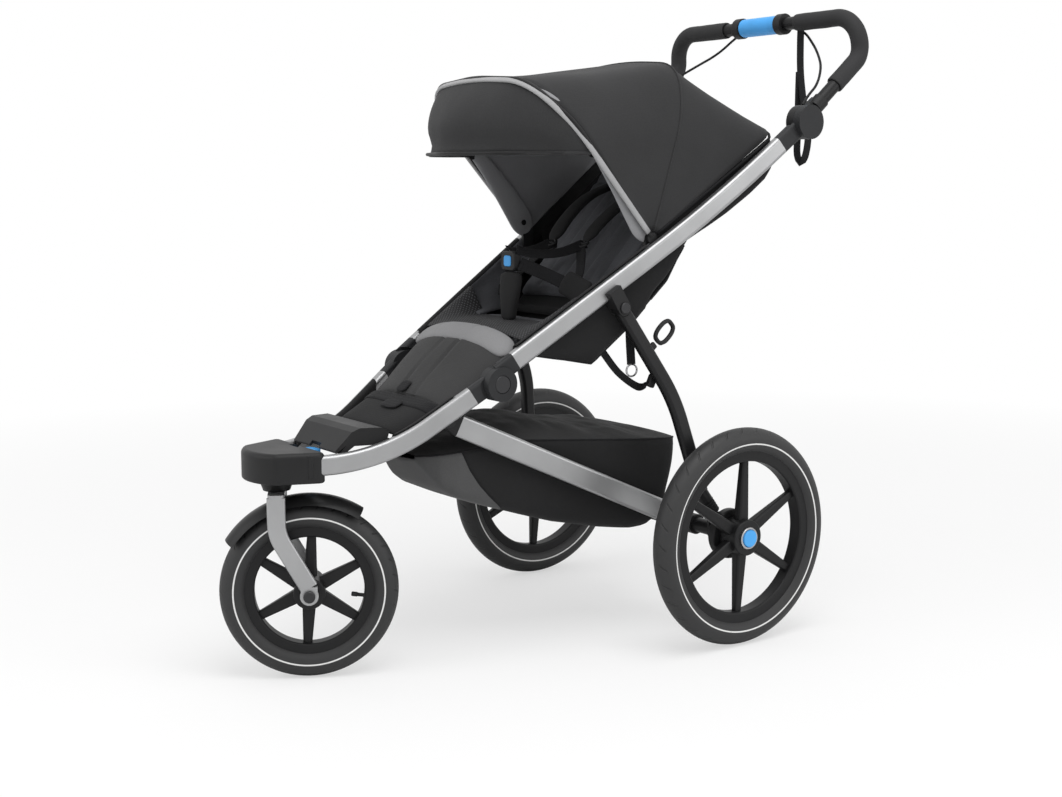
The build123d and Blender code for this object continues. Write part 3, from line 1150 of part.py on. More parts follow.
with BuildPart() as lower_bar_left:
    with BuildSketch(bar_section(BAR_START)):
        RectangleRounded(BAR_W, BAR_H, BAR_R)
        RectangleRounded(BAR_W - 2 * BAR_WALL, BAR_H - 2 * BAR_WALL, BAR_R - BAR_WALL, mode=Mode.SUBTRACT)
    extrude(amount=BAR_LENGTH)
finish(pair(lower_bar_left), "lower_bars")

with BuildPart() as bar_eye:
    with BuildSketch(side_plane(BAR_X - BAR_EYE_W / 2)):
        with Locations((BAR_Y, BAR_Z)):
            Circle(BAR_EYE_R)
    extrude(amount=BAR_EYE_W)
    with BuildSketch(bar_section(3)):
        RectangleRounded(BAR_EYE_W - 2, 2 * BAR_EYE_R - 2, 4)
    with BuildSketch(bar_section(BAR_START)):
        RectangleRounded(BAR_W, BAR_H, BAR_R)
    loft()
    with BuildSketch(side_plane(BAR_X + BAR_EYE_W / 2)):
        with Locations((BAR_Y, BAR_Z)):
            Circle(CHEEK_R + 4)
    extrude(amount=2 * BAR_W, mode=Mode.SUBTRACT)
    with BuildSketch(bar_section(BAR_START)):
        RectangleRounded(
            BAR_W - 2 * BAR_WALL - 2 * PLUG_PLAY, BAR_H - 2 * BAR_WALL - 2 * PLUG_PLAY,
            BAR_R - BAR_WALL - PLUG_PLAY)
    extrude(amount=PLUG_LENGTH)
    with BuildSketch(side_plane(BAR_X - BAR_EYE_W)):
        with Locations((BAR_Y, BAR_Z)):
            Circle(BAR_PIN_R + RUN)
    extrude(amount=3 * BAR_EYE_W, mode=Mode.SUBTRACT)

axle_along = hypot((0 - BAR_Y) / cos(bar_toe), BAR_Z - REAR_R)
with BuildPart() as axle_bracket:
    with BuildSketch(bar_section(BAR_START + BAR_LENGTH)):
        RectangleRounded(BAR_W, BAR_H, BAR_R)
    with BuildSketch(bar_section(axle_along - AXLE_TUBE_R)):
        RectangleRounded(BAR_W, 2 * AXLE_TUBE_R + 8, BAR_R)
    loft()
    with BuildSketch(bar_section(BAR_START + BAR_LENGTH)):
        RectangleRounded(
            BAR_W - 2 * BAR_WALL - 2 * PLUG_PLAY, BAR_H - 2 * BAR_WALL - 2 * PLUG_PLAY,
            BAR_R - BAR_WALL - PLUG_PLAY)
    extrude(amount=-PLUG_LENGTH)
    bracket_x = BAR_X + axle_along * cos(radians(BAR_FALL)) * sin(bar_toe)
    with BuildSketch(side_plane(bracket_x - BAR_W / 2 - 2)):
        with Locations((0, REAR_R)):
            Circle(AXLE_TUBE_R + 5)
    extrude(amount=BAR_W + 4)
    with BuildSketch(side_plane(bracket_x - 3 * BAR_W)):
        with Locations((0, REAR_R)):
            Circle(AXLE_TUBE_R)
    extrude(amount=6 * BAR_W, mode=Mode.SUBTRACT)
with BuildPart() as bar_fittings:
    add(pair(bar_eye).part)
    add(pair(axle_bracket).part)
finish(bar_fittings, "bar_fittings")

# ==== rear axle, carriers, drums and parking brake ====================================================
STUB_END = TRACK_HALF + HUB_OUT - RECESS_DEPTH - 0.5
with BuildPart() as rear_axle_beam:
    with BuildSketch(side_plane(-CARRIER_X[0])):
        with Locations((0, REAR_R)):
            Circle(AXLE_TUBE_R)
            Circle(AXLE_TUBE_R - AXLE_TUBE_WALL, mode=Mode.SUBTRACT)
    extrude(amount=2 * CARRIER_X[0])
finish(rear_axle_beam, "rear_axle_beam")

CHEEK_IN = FOOT_X - FOOT_W / 2 - GAP
CHEEK_OUT = FOOT_X + FOOT_W / 2 + GAP
with BuildPart() as hub_carrier:
    with BuildSketch(side_plane(CARRIER_X[0])):
        with Locations((0, REAR_R)):
            Circle(CARRIER_R)
        with Locations((SHOCK_Y, SHOCK_Z)):
            Circle(SHOCK_FOOT_R + 2)
        with BuildLine():
            Polyline((-CARRIER_R + 1, REAR_R + 6), (SHOCK_Y - SHOCK_FOOT_R - 1.5, SHOCK_Z + 3),
                     (SHOCK_Y + SHOCK_FOOT_R + 1.5, SHOCK_Z + 3), (CARRIER_R - 3, REAR_R + 8), close=True)
        make_face()
    extrude(amount=CARRIER_X[1] - CARRIER_X[0])
    with BuildSketch(side_plane(CHEEK_IN)):
        Rectangle(600, 900)
        with Locations((0, REAR_R)):
            Circle(CARRIER_NECK_R, mode=Mode.SUBTRACT)
    extrude(amount=CHEEK_OUT - CHEEK_IN, mode=Mode.SUBTRACT)
    with BuildSketch(side_plane(CARRIER_X[1])):
        with Locations((0, REAR_R)):
            Circle(AXLE_R)
    extrude(amount=STUB_END - CARRIER_X[1])
finish(pair(hub_carrier), "hub_carriers")

with BuildPart() as brake_drum:
    with BuildSketch(side_plane(CARRIER_X[1])):
        with Locations((0, REAR_R)):
            Circle(DRUM_R)
            Circle(AXLE_R, mode=Mode.SUBTRACT)
    extrude(amount=DRUM_T)
    fillet(brake_drum.edges().filter_by(GeomType.CIRCLE).filter_by(lambda e: abs(e.radius - DRUM_R) < 0.01), 3)
finish(pair(brake_drum), "brake_drums")

PEDAL_COLLAR_R, PEDAL_T = 19.0, 6.0
with BuildPart() as brake_pedal:
    with BuildSketch(side_plane(-PEDAL_HALF)):
        with Locations((0, REAR_R)):
            Circle(PEDAL_COLLAR_R)
        with BuildLine():
            Polyline((4, REAR_R + PEDAL_COLLAR_R - 2), (PEDAL_REACH, REAR_R + 12),
                     (PEDAL_REACH, REAR_R + 12 - PEDAL_T), (8, REAR_R + 6), close=True)
        make_face()
        with Locations((0, REAR_R)):
            Circle(AXLE_TUBE_R + RUN, mode=Mode.SUBTRACT)
    extrude(amount=2 * PEDAL_HALF)
finish(brake_pedal, "brake_pedal")

# ==== basket and its cover ===========================================================================
BASKET_SIDE = ((-533, 366), (-492, 306), (-470, 290), (-267, 221), (-108, 191), (-62, 191), (-38, 240), (-33, 361),
               (-343, 384))
BASKET_NOSE = ((104, -470), (92, -500), (60, -533))
BASKET_MOUTH = ((-33, 373), (-343, 396), (-530, 378), (-521, 352), (-343, 376), (-36, 353))
BASKET_T = 3.0
BASKET_REAR = -20.0
BASKET_WIDE, BASKET_TALL = HUB_X + 60.0, 1000.0
COVER_TOP = ((-36, 368), (-120, 389), (-240, 402), (-343, 403), (-450, 396), (-530, 374))


def basket_plan(inset):
    """Half-plan of the basket, inboard of the lower bars, drawn for both sides."""
    rear_half = BAR_X + (0 - BAR_Y) * tan(bar_toe) - (BAR_W / 2) / cos(bar_toe) - SEAT_GAP
    half_rear = rear_half + BASKET_REAR * tan(bar_toe) - inset
    nose = [(x - inset - SEAT_GAP, y) for x, y in BASKET_NOSE]
    with BuildSketch() as plan:
        with BuildLine():
            right = [(half_rear, BASKET_REAR - inset), *nose]
            Polyline(*right, *[(-x, y) for x, y in reversed(right)], close=True)
        make_face()
    return plan


def basket_body(side_points, inset):
    """Solid of the basket's side view, trimmed to its plan."""
    with BuildPart() as body:
        with BuildSketch(side_plane(-BASKET_WIDE)):
            with BuildLine():
                Polyline(*side_points, close=True)
            make_face()
            if inset:
                offset(amount=-inset)
        extrude(amount=2 * BASKET_WIDE)
        with BuildSketch(Plane.XY):
            add(basket_plan(inset).sketch)
        extrude(amount=BASKET_TALL, mode=Mode.INTERSECT)
    return body


with BuildPart() as basket:
    add(basket_body(BASKET_SIDE, 0).part)
    add(basket_body(BASKET_SIDE, BASKET_T).part, mode=Mode.SUBTRACT)
    add(basket_body(BASKET_MOUTH, BASKET_T / 2).part, mode=Mode.SUBTRACT)
finish(basket, "basket")

basket_rim = (BASKET_SIDE[0], BASKET_SIDE[-1], BASKET_SIDE[-2])
cover_low = [(y, z + SEAT_GAP) for y, z in basket_rim]
finish(basket_body([*cover_low, *COVER_TOP], 0), "basket_cover")

# ==== handlebar =====================================================================================
handle_moving_x = HANDLE_X - GAP / 2
handle_mid = Vector(handle_moving_x - HANDLE_DISC_T / 2, HANDLE_Y, HANDLE_Z)
elbow = Vector(*HANDLE_ELBOW)
crown = Vector(*HANDLE_TOP)
handle_dir = (elbow - handle_mid).normalized()
SLEEVE_START, SLEEVE_END, SLEEVE_R = 41.0, 64.0, 15.5
tube_start = handle_mid + handle_dir * (SLEEVE_START + 4)


def other_side(point):
    """The same point on the other side of the stroller."""
    return Vector(-point.X, point.Y, point.Z)


with BuildPart() as handle_arm:
    with BuildSketch(side_plane(handle_moving_x)):
        with Locations((HANDLE_Y, HANDLE_Z)):
            Circle(HANDLE_DISC_R)
        with BuildLine():
            along = Vector(handle_dir.Y, handle_dir.Z).normalized()
            across = Vector(-along.Y, along.X)
            middle = Vector(HANDLE_Y, HANDLE_Z)
            Polyline(
                middle + across * 20, middle + along * SLEEVE_END * 0.9 + across * 13,
                middle + along * SLEEVE_END * 0.9 - across * 13, middle - across * 20, close=True)
        make_face()
    extrude(amount=-HANDLE_DISC_T)
    with BuildSketch(Plane(origin=handle_mid + handle_dir * SLEEVE_START, z_dir=handle_dir)):
        Circle(SLEEVE_R)
    extrude(amount=SLEEVE_END - SLEEVE_START)
    with BuildSketch(Plane(origin=tube_start, z_dir=handle_dir)):
        Circle(HANDLE_TUBE_R)
    extrude(amount=80, mode=Mode.SUBTRACT)
    with BuildSketch(side_plane(handle_moving_x)):
        with Locations((HANDLE_Y, HANDLE_Z)):
            Circle(HANDLE_PIN_R + RUN)
    extrude(amount=-HANDLE_DISC_T, mode=Mode.SUBTRACT)
finish(pair(handle_arm), "handle_arms")

with BuildPart() as handle_pin:
    with BuildSketch(side_plane(handle_moving_x - HANDLE_DISC_T)):
        with Locations((HANDLE_Y, HANDLE_Z)):
            Circle(HANDLE_PIN_R)
    extrude(amount=HANDLE_DISC_T + GAP + HANDLE_DISC_T - 4)
    with BuildSketch(side_plane(handle_moving_x - HANDLE_DISC_T - 4)):
        with Locations((HANDLE_Y, HANDLE_Z)):
            Circle(HANDLE_PIN_R + 7)
    extrude(amount=4 - GAP)
    with BuildSketch(side_plane(handle_moving_x - HANDLE_DISC_T - GAP)):
        with Locations((HANDLE_Y, HANDLE_Z)):
            Circle(HANDLE_PIN_R)
    extrude(amount=GAP)
with BuildPart() as upper_pins:
    for pin in (pair(leg_pin), pair(handle_pin), recline_rod):
        add(pin.part)
finish(upper_pins, "upper_pins")

with BuildPart() as handle_tube:
    with BuildLine() as handle_path:
        FilletPolyline(
            tube_start, elbow, crown, other_side(crown), other_side(elbow), other_side(tube_start),
            radius=[ELBOW_R, CORNER_R, CORNER_R, ELBOW_R])
    with BuildSketch(Plane(origin=handle_path.line @ 0, z_dir=handle_path.line % 0)):
        Circle(HANDLE_TUBE_R)
        Circle(HANDLE_TUBE_R - HANDLE_WALL, mode=Mode.SUBTRACT)
    sweep()
finish(handle_tube, "handle_tube")

foam_share = (FOAM_START_Z - handle_mid.Z) / (elbow.Z - handle_mid.Z)
foam_start = handle_mid + (elbow - handle_mid) * foam_share
with BuildPart() as foam_grip:
    with BuildLine() as foam_path:
        FilletPolyline(foam_start, elbow, crown, (FOAM_END_X, crown.Y, crown.Z), radius=[ELBOW_R, CORNER_R])
    with BuildSketch(Plane(origin=foam_path.line @ 0, z_dir=foam_path.line % 0)):
        Circle(FOAM_R)
        Circle(HANDLE_TUBE_R, mode=Mode.SUBTRACT)
    sweep()
finish(pair(foam_grip), "foam_grips")


def bar_sleeve(x_low, x_high, outer_r, bore_r):
    """Sleeve round the handlebar's cross piece."""
    with BuildPart() as sleeve:
        with BuildSketch(side_plane(x_low)):
            with Locations((crown.Y, crown.Z)):
                Circle(outer_r)
                Circle(bore_r, mode=Mode.SUBTRACT)
        extrude(amount=x_high - x_low)
        fillet(sleeve.edges().filter_by(GeomType.CIRCLE).filter_by(lambda e: abs(e.radius - outer_r) < 0.01), 2)
    return sleeve


twist_grip = bar_sleeve(-GRIP_HALF, GRIP_HALF, GRIP_R, HANDLE_TUBE_R + RUN)
finish(twist_grip, "twist_grip")
brake_clamp = bar_sleeve(GRIP_HALF + GAP, GRIP_HALF + GAP + CLAMP_W, CLAMP_R, HANDLE_TUBE_R)
finish(pair(brake_clamp), "brake_clamps")

clamp_face = GRIP_HALF + GAP + CLAMP_W
HANDLE_CABLE = (
    (clamp_face + 1.5, 359.5, 1151.5), (97, 366, 1147), (140, 353, 1113), (180, 326, 1088), (216, 297, 1062),
    (240, 262, 1026), (251, 225, 1004), (253, 211.5, 987.2))


def cord_radii(points):
    """Radius at each corner of a cord: 0.45 of its shorter run over the tangent of half the turn."""
    spots = [Vector(*point) for point in points]
    radii = []
    for before, here, after in zip(spots, spots[1:], spots[2:]):
        turn = radians((here - before).get_angle(after - here))
        shorter = min((here - before).length, (after - here).length)
        radii.append(0.45 * shorter / tan(turn / 2))
    return radii


def cord(points, radius):
    """Round cord along chosen points: straight runs joined by tangent arcs."""
    radii = cord_radii(points)
    with BuildPart() as piece:
        with BuildLine() as route:
            FilletPolyline(*points, radius=radii)
        with BuildSketch(Plane(origin=route.line @ 0, z_dir=route.line % 0)):
            Circle(radius)
        sweep()
    length = sum(edge.length for edge in route.edges())
    print("cord radii", [round(value, 1) for value in radii], "length", round(length, 1),
          "volume", round(piece.part.volume), "expected", round(length * pi * radius ** 2))
    return piece


finish(pair(cord(HANDLE_CABLE, CABLE_R)), "handle_cables")

STRAP_LOOP_R = 15.0
with BuildPart() as wrist_strap:
    with BuildSketch(side_plane(STRAP_X - STRAP_W / 2)):
        with Locations((crown.Y, crown.Z)):
            Circle(FOAM_R + 0.3 + STRAP_T)
        strap_top = crown.Z - FOAM_R - 1
        strap_low = STRAP_END_Z + 4.2 * STRAP_LOOP_R
        with Locations((crown.Y, (strap_top + strap_low) / 2)):
            Rectangle(2 * STRAP_T, strap_top - strap_low)
        with Locations((crown.Y, STRAP_END_Z + 2.2 * STRAP_LOOP_R)):
            SlotOverall(4.4 * STRAP_LOOP_R, 2 * STRAP_LOOP_R, rotation=90)
        with Locations((crown.Y, STRAP_END_Z + 2.2 * STRAP_LOOP_R)):
            SlotOverall(4.4 * STRAP_LOOP_R - 2 * STRAP_T, 2 * STRAP_LOOP_R - 2 * STRAP_T, rotation=90,
                        mode=Mode.SUBTRACT)
        with Locations((crown.Y, crown.Z)):
            Circle(FOAM_R + 0.3, mode=Mode.SUBTRACT)
    extrude(amount=STRAP_W)
finish(wrist_strap, "wrist_strap")

# ==== harness straps ================================================================================
STRAP_PAD_W, STRAP_PAD_T, WEB_W, WEB_T = 34.0, 12.0, 24.0, 2.4
back_face = back_origin + back_front * (BACK_T / 2 + BACK_PAD_T + SEAT_GAP)
SLOT_REACH = 322.0
SHOULDER_ROUTES = (
    ((66, 28, 858), (64, -60, 806), (50, -150, 733)),
    ((-66, 28, 858), (-52, -70, 806), (-30, -166, 733)))
with BuildPart() as shoulder_pads:
    for route in SHOULDER_ROUTES:
        anchor = back_face + back_along * SLOT_REACH + Vector(route[0][0], 0, 0)
        with BuildLine() as pad_path:
            FilletPolyline(tuple(anchor + back_front * 2), *route[1:], radius=150)
        with BuildSketch(section_plane(pad_path.line, 0, (1, 0, 0))):
            RectangleRounded(STRAP_PAD_W, STRAP_PAD_T, 5)
        sweep()
    with BuildSketch(Plane(origin=back_face + back_along * (SLOT_REACH - 60), x_dir=(1, 0, 0), z_dir=-back_front)):
        Rectangle(400, 400)
    extrude(amount=200, mode=Mode.SUBTRACT)
finish(shoulder_pads, "shoulder_pads")

buckle_top_z = BUCKLE[2] - BUCKLE_LOW + BUCKLE_H
WEB_ROUTES = (
    ((50.0, -153.0, 729.0), (34.0, -215.0, 712.0), (15.0, BUCKLE[1] + 3, buckle_top_z + 2)),
    ((-30.0, -169.0, 729.0), (-24.0, -220.0, 714.0), (-14.0, BUCKLE[1] + 3, buckle_top_z + 2)))
WAIST_ROUTE = ((25.0, -281.0, 692.0), (70.0, -228.0, 662.0), (118.0, -205.0, 640.0), (182.3, -204.0, 628.0))
with BuildPart() as harness_webbing:
    for route in WEB_ROUTES:
        with BuildLine() as web_path:
            FilletPolyline(*route, radius=120)
        with BuildSketch(section_plane(web_path.line, 0, (1, 0, 0))):
            Rectangle(WEB_W, WEB_T)
        sweep()
    for side in (-1, 1):
        points = [(side * x, y, z) for x, y, z in WAIST_ROUTE]
        with BuildLine() as waist_path:
            FilletPolyline(*points, radius=60)
        with BuildSketch(Plane(origin=waist_path.line @ 0, x_dir=(0, 0.35, 0.94), z_dir=waist_path.line % 0)):
            Rectangle(WEB_W, WEB_T)
        sweep()
finish(harness_webbing, "harness_webbing")
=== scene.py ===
"""Looks of a three-wheeled jogging stroller: finishes, soft goods and small trim, dressed over its frame."""
import json
import logging
import math
from dataclasses import dataclass, field
from enum import Enum
from typing import Callable, Sequence

import bmesh
import bpy
from mathutils import Matrix, Vector, noise


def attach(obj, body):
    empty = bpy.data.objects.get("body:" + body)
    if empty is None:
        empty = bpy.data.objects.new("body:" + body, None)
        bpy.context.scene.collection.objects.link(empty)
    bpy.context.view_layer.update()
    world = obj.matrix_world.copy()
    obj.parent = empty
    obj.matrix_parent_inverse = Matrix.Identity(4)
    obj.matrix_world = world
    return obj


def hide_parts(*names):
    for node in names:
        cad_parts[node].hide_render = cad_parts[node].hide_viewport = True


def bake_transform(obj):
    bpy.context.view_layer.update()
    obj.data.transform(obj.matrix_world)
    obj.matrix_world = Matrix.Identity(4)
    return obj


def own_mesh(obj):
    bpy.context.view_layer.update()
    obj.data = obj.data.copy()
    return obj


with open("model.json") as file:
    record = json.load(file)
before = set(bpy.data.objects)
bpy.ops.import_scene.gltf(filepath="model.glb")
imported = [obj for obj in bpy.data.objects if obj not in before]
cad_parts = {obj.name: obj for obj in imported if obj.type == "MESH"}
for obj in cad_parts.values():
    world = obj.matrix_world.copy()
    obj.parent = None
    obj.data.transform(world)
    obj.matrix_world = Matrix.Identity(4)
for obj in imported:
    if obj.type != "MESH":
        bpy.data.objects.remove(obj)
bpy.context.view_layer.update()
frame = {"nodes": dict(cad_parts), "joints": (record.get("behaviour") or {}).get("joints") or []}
JOINTS = {joint["name"]: joint for joint in frame["joints"]}
LOG = logging.getLogger("stroller")

MM = 0.001
MERGE = 0.02 * MM           # points this near each other are one
SIDES = ((1, "left"), (-1, "right"))
# Thicknesses of the cloths, in millimetres.
CANVAS, BAG_CLOTH, SHELL_CLOTH, HEM_CLOTH, LINING_CLOTH = 2.4, 2.0, 1.6, 1.2, 1.0
LEAST_AREA = 0.301          # the least share of its length by its width that a sheet's area is counted as
CURVE_STEPS = 24            # points between two knots of a smooth line
CORNER_STEPS = 8            # steps round one corner of a bent line
Point = tuple[float, float, float]
Line = tuple[tuple[float, float], ...]
Section = list[Vector]


# ---- finishes -----------------------------------------------------------------------------------
class Shade(Enum):
    """Base colours of the finishes, as linear red, green and blue."""

    SILVER = (0.36, 0.362, 0.366)
    FORK_SILVER = (0.38, 0.382, 0.386)
    ZINC = (0.45, 0.45, 0.46)
    DARK_STEEL = (0.035, 0.035, 0.037)
    BLACK = (0.0085, 0.0085, 0.009)
    SOFT_BLACK = (0.014, 0.014, 0.0145)
    HUB_GREY = (0.021, 0.0215, 0.023)
    RIM = (0.010, 0.010, 0.0105)
    TYRE = (0.017, 0.017, 0.0175)
    FOAM = (0.027, 0.027, 0.028)
    BLUE = (0.075, 0.36, 0.78)
    CHARCOAL = (0.036, 0.036, 0.037)
    CHARCOAL_DARK = (0.019, 0.019, 0.0195)
    # Canopy lining: paler grey than the outer cloth, and raised further as painted light for the canopy's dim
    # inside.
    LINING_PLUS_PAINTED_LIGHT = (0.23, 0.23, 0.24)
    # Basket nose: the basket's charcoal cloth painted paler, as painted light where the nose faces the lamps.
    NOSE_PAINTED_LIGHT = (0.085, 0.085, 0.086)
    COVER = (0.038, 0.038, 0.0385)
    # Bow sleeves: paler grey than the outer cloth, and raised further as painted light for the canopy's dim
    # inside.
    SLEEVE_PLUS_PAINTED_LIGHT = (0.27, 0.27, 0.28)
    LINER = (0.105, 0.107, 0.116)
    PANEL = (0.046, 0.046, 0.0465)
    BAND = (0.24, 0.24, 0.245)
    PIPING = (0.36, 0.36, 0.365)
    WEB = (0.012, 0.012, 0.013)
    NET = (0.010, 0.010, 0.011)
    WHITE_LINE = (0.80, 0.80, 0.79)


class Nodes:
    """A material's node tree, with short calls that add and link its nodes."""

    def __init__(self, name: str) -> None:
        """Start an empty material of that name with a principled shader."""
        self.material = bpy.data.materials.new(name)
        self.material.use_nodes = True
        self.tree = self.material.node_tree
        self.shader = self.tree.nodes["Principled BSDF"]
        self.place = self.tree.nodes.new("ShaderNodeTexCoord").outputs["Object"]

    def put(self, socket: bpy.types.NodeSocket, value: object) -> None:
        """Put a value on a socket, or a link from another node's socket."""
        if isinstance(value, bpy.types.NodeSocket):
            self.tree.links.new(value, socket)
        else:
            socket.default_value = value

    def add(self, kind: str, **inputs: object) -> bpy.types.Node:
        """Add a node.

        Args:
            kind: The node's type, after ShaderNode.
            inputs: Values or sockets for its inputs, by name with _ for a space, or by number as i0, i1.

        Returns:
            The new node.
        """
        node = self.tree.nodes.new("ShaderNode" + kind)
        for name, value in inputs.items():
            by_number = name[0] == "i" and name[1:].isdigit()
            self.put(node.inputs[int(name[1:]) if by_number else name.replace("_", " ")], value)
        return node

    def math(self, operation: str, a: object, b: object = 0.0) -> bpy.types.NodeSocket:
        """Return the result of a math node on two values or sockets."""
        node = self.add("Math", i0=a, i1=b)
        node.operation = operation
        return node.outputs[0]

    def vector(self, operation: str, output: str, a: object,
               b: object = (0.0, 0.0, 0.0)) -> bpy.types.NodeSocket:
        """Return the named output of a vector node on two vectors or sockets."""
        node = self.add("VectorMath", i0=a, i1=b)
        node.operation = operation
        return node.outputs[output]

    def noise(self, scale: float, detail: float = 3.0) -> bpy.types.NodeSocket:
        """Return a noise over the object's own coordinates, per metre."""
        return self.add("TexNoise", Vector=self.place, Scale=scale, Detail=detail).outputs["Fac"]

    def ramp(self, value: bpy.types.NodeSocket, low: float, high: float, start: float = 0.3,
             end: float = 0.7) -> bpy.types.NodeSocket:
        """Return a value mapped from start..end to low..high."""
        made = self.add("MapRange", Value=value, From_Min=start, From_Max=end, To_Min=low, To_Max=high)
        return made.outputs[0]

    def mix(self, amount: object, a: object, b: object) -> bpy.types.NodeSocket:
        """Return a colour mixed from a to b."""
        node = self.tree.nodes.new("ShaderNodeMix")
        node.data_type = "RGBA"
        for index, value in ((0, amount), (6, a), (7, b)):
            self.put(node.inputs[index], value)
        return node.outputs[2]

    def link(self, name: str, value: object) -> None:
        """Put a value or a socket on the shader's input of that name."""
        self.put(self.shader.inputs[name], value)

    def bump(self, height: bpy.types.NodeSocket, strength: float, distance: float,
             under: bpy.types.NodeSocket | None = None) -> bpy.types.NodeSocket:
        """Return a bumped normal, over another one if it is given."""
        node = self.add("Bump", Height=height, Strength=strength, Distance=distance)
        if under is not None:
            self.tree.links.new(under, node.inputs["Normal"])
        return node.outputs[0]


def rgba(shade: Shade, gain: float = 1.0) -> tuple[float, float, float, float]:
    """Return a shade as a socket's colour, brightened by gain."""
    return (*(min(1.0, part * gain) for part in shade.value), 1.0)


@dataclass(frozen=True)
class Metal:
    """Satin anodised or plated metal with a fine grain."""

    name: str
    shade: Shade
    roughness: float = 0.36
    metallic: float = 0.85
    grain: float = 700.0

    def build(self) -> bpy.types.Material:
        """Build the material."""
        nodes = Nodes(self.name)
        fine = nodes.noise(self.grain, 2.0)
        broad = nodes.noise(14.0, 4.0)
        tint = nodes.ramp(broad, 0.0, 1.0)
        nodes.link("Base Color", nodes.mix(tint, rgba(self.shade, 0.94), rgba(self.shade, 1.04)))
        nodes.link("Metallic", self.metallic)
        nodes.link("Roughness", nodes.ramp(fine, self.roughness - 0.04, self.roughness + 0.05))
        nodes.link("Normal", nodes.bump(fine, 0.10, 0.00012))
        return nodes.material


@dataclass(frozen=True)
class Moulded:
    """Moulded plastic or rubber with a pebbled grain and slightly shinier worn spots."""

    name: str
    shade: Shade
    roughness: float = 0.5
    grain: float = 900.0
    relief: float = 0.25
    specular: float = 0.22

    def build(self) -> bpy.types.Material:
        """Build the material."""
        nodes = Nodes(self.name)
        pebble = nodes.add("TexVoronoi", Vector=nodes.place, Scale=self.grain).outputs["Distance"]
        broad = nodes.noise(9.0, 5.0)
        tint = nodes.ramp(broad, 0.0, 1.0)
        nodes.link("Base Color", nodes.mix(tint, rgba(self.shade, 0.85), rgba(self.shade, 1.2)))
        nodes.link("Roughness", nodes.ramp(broad, self.roughness - 0.05, self.roughness + 0.07))
        nodes.link("Specular IOR Level", self.specular)
        nodes.link("Normal", nodes.bump(pebble, self.relief, 0.0002))
        return nodes.material


@dataclass(frozen=True)
class Cloth:
    """Woven cloth: threads each way across the object's own axes, with a soft sheen."""

    name: str
    shade: Shade
    thread: float = 0.0011
    relief: float = 0.35
    sheen: float = 0.06
    roughness: float = 0.86
    mottle: float = 0.12

    def build(self) -> bpy.types.Material:
        """Build the material."""
        nodes = Nodes(self.name)
        scale = 1.0 / (2.0 * math.pi * self.thread)
        heights = []
        for axis in ("X", "Y", "Z"):
            wave = nodes.add("TexWave", Vector=nodes.place, Scale=scale, Distortion=0.6, Detail=1.0)
            wave.bands_direction = axis
            heights.append(wave.outputs["Fac"])
        weave = nodes.math("ADD", nodes.math("ADD", heights[0], heights[1]), heights[2])
        fleck = nodes.noise(1.0 / (self.thread * 2.2), 2.0)
        broad = nodes.noise(7.0, 4.0)
        cloudy = nodes.math("ADD", nodes.ramp(broad, 0.0, 0.6), nodes.ramp(fleck, 0.0, 0.4))
        low, high = rgba(self.shade, 1.0 - self.mottle), rgba(self.shade, 1.0 + self.mottle)
        nodes.link("Base Color", nodes.mix(cloudy, low, high))
        nodes.link("Roughness", self.roughness)
        nodes.link("Specular IOR Level", 0.12)
        nodes.link("Sheen Weight", self.sheen)
        nodes.link("Sheen Roughness", 0.45)
        cloth = nodes.bump(weave, self.relief, self.thread * 0.22)
        nodes.link("Normal", nodes.bump(nodes.noise(38.0, 3.0), 0.18, 0.0022, cloth))
        return nodes.material


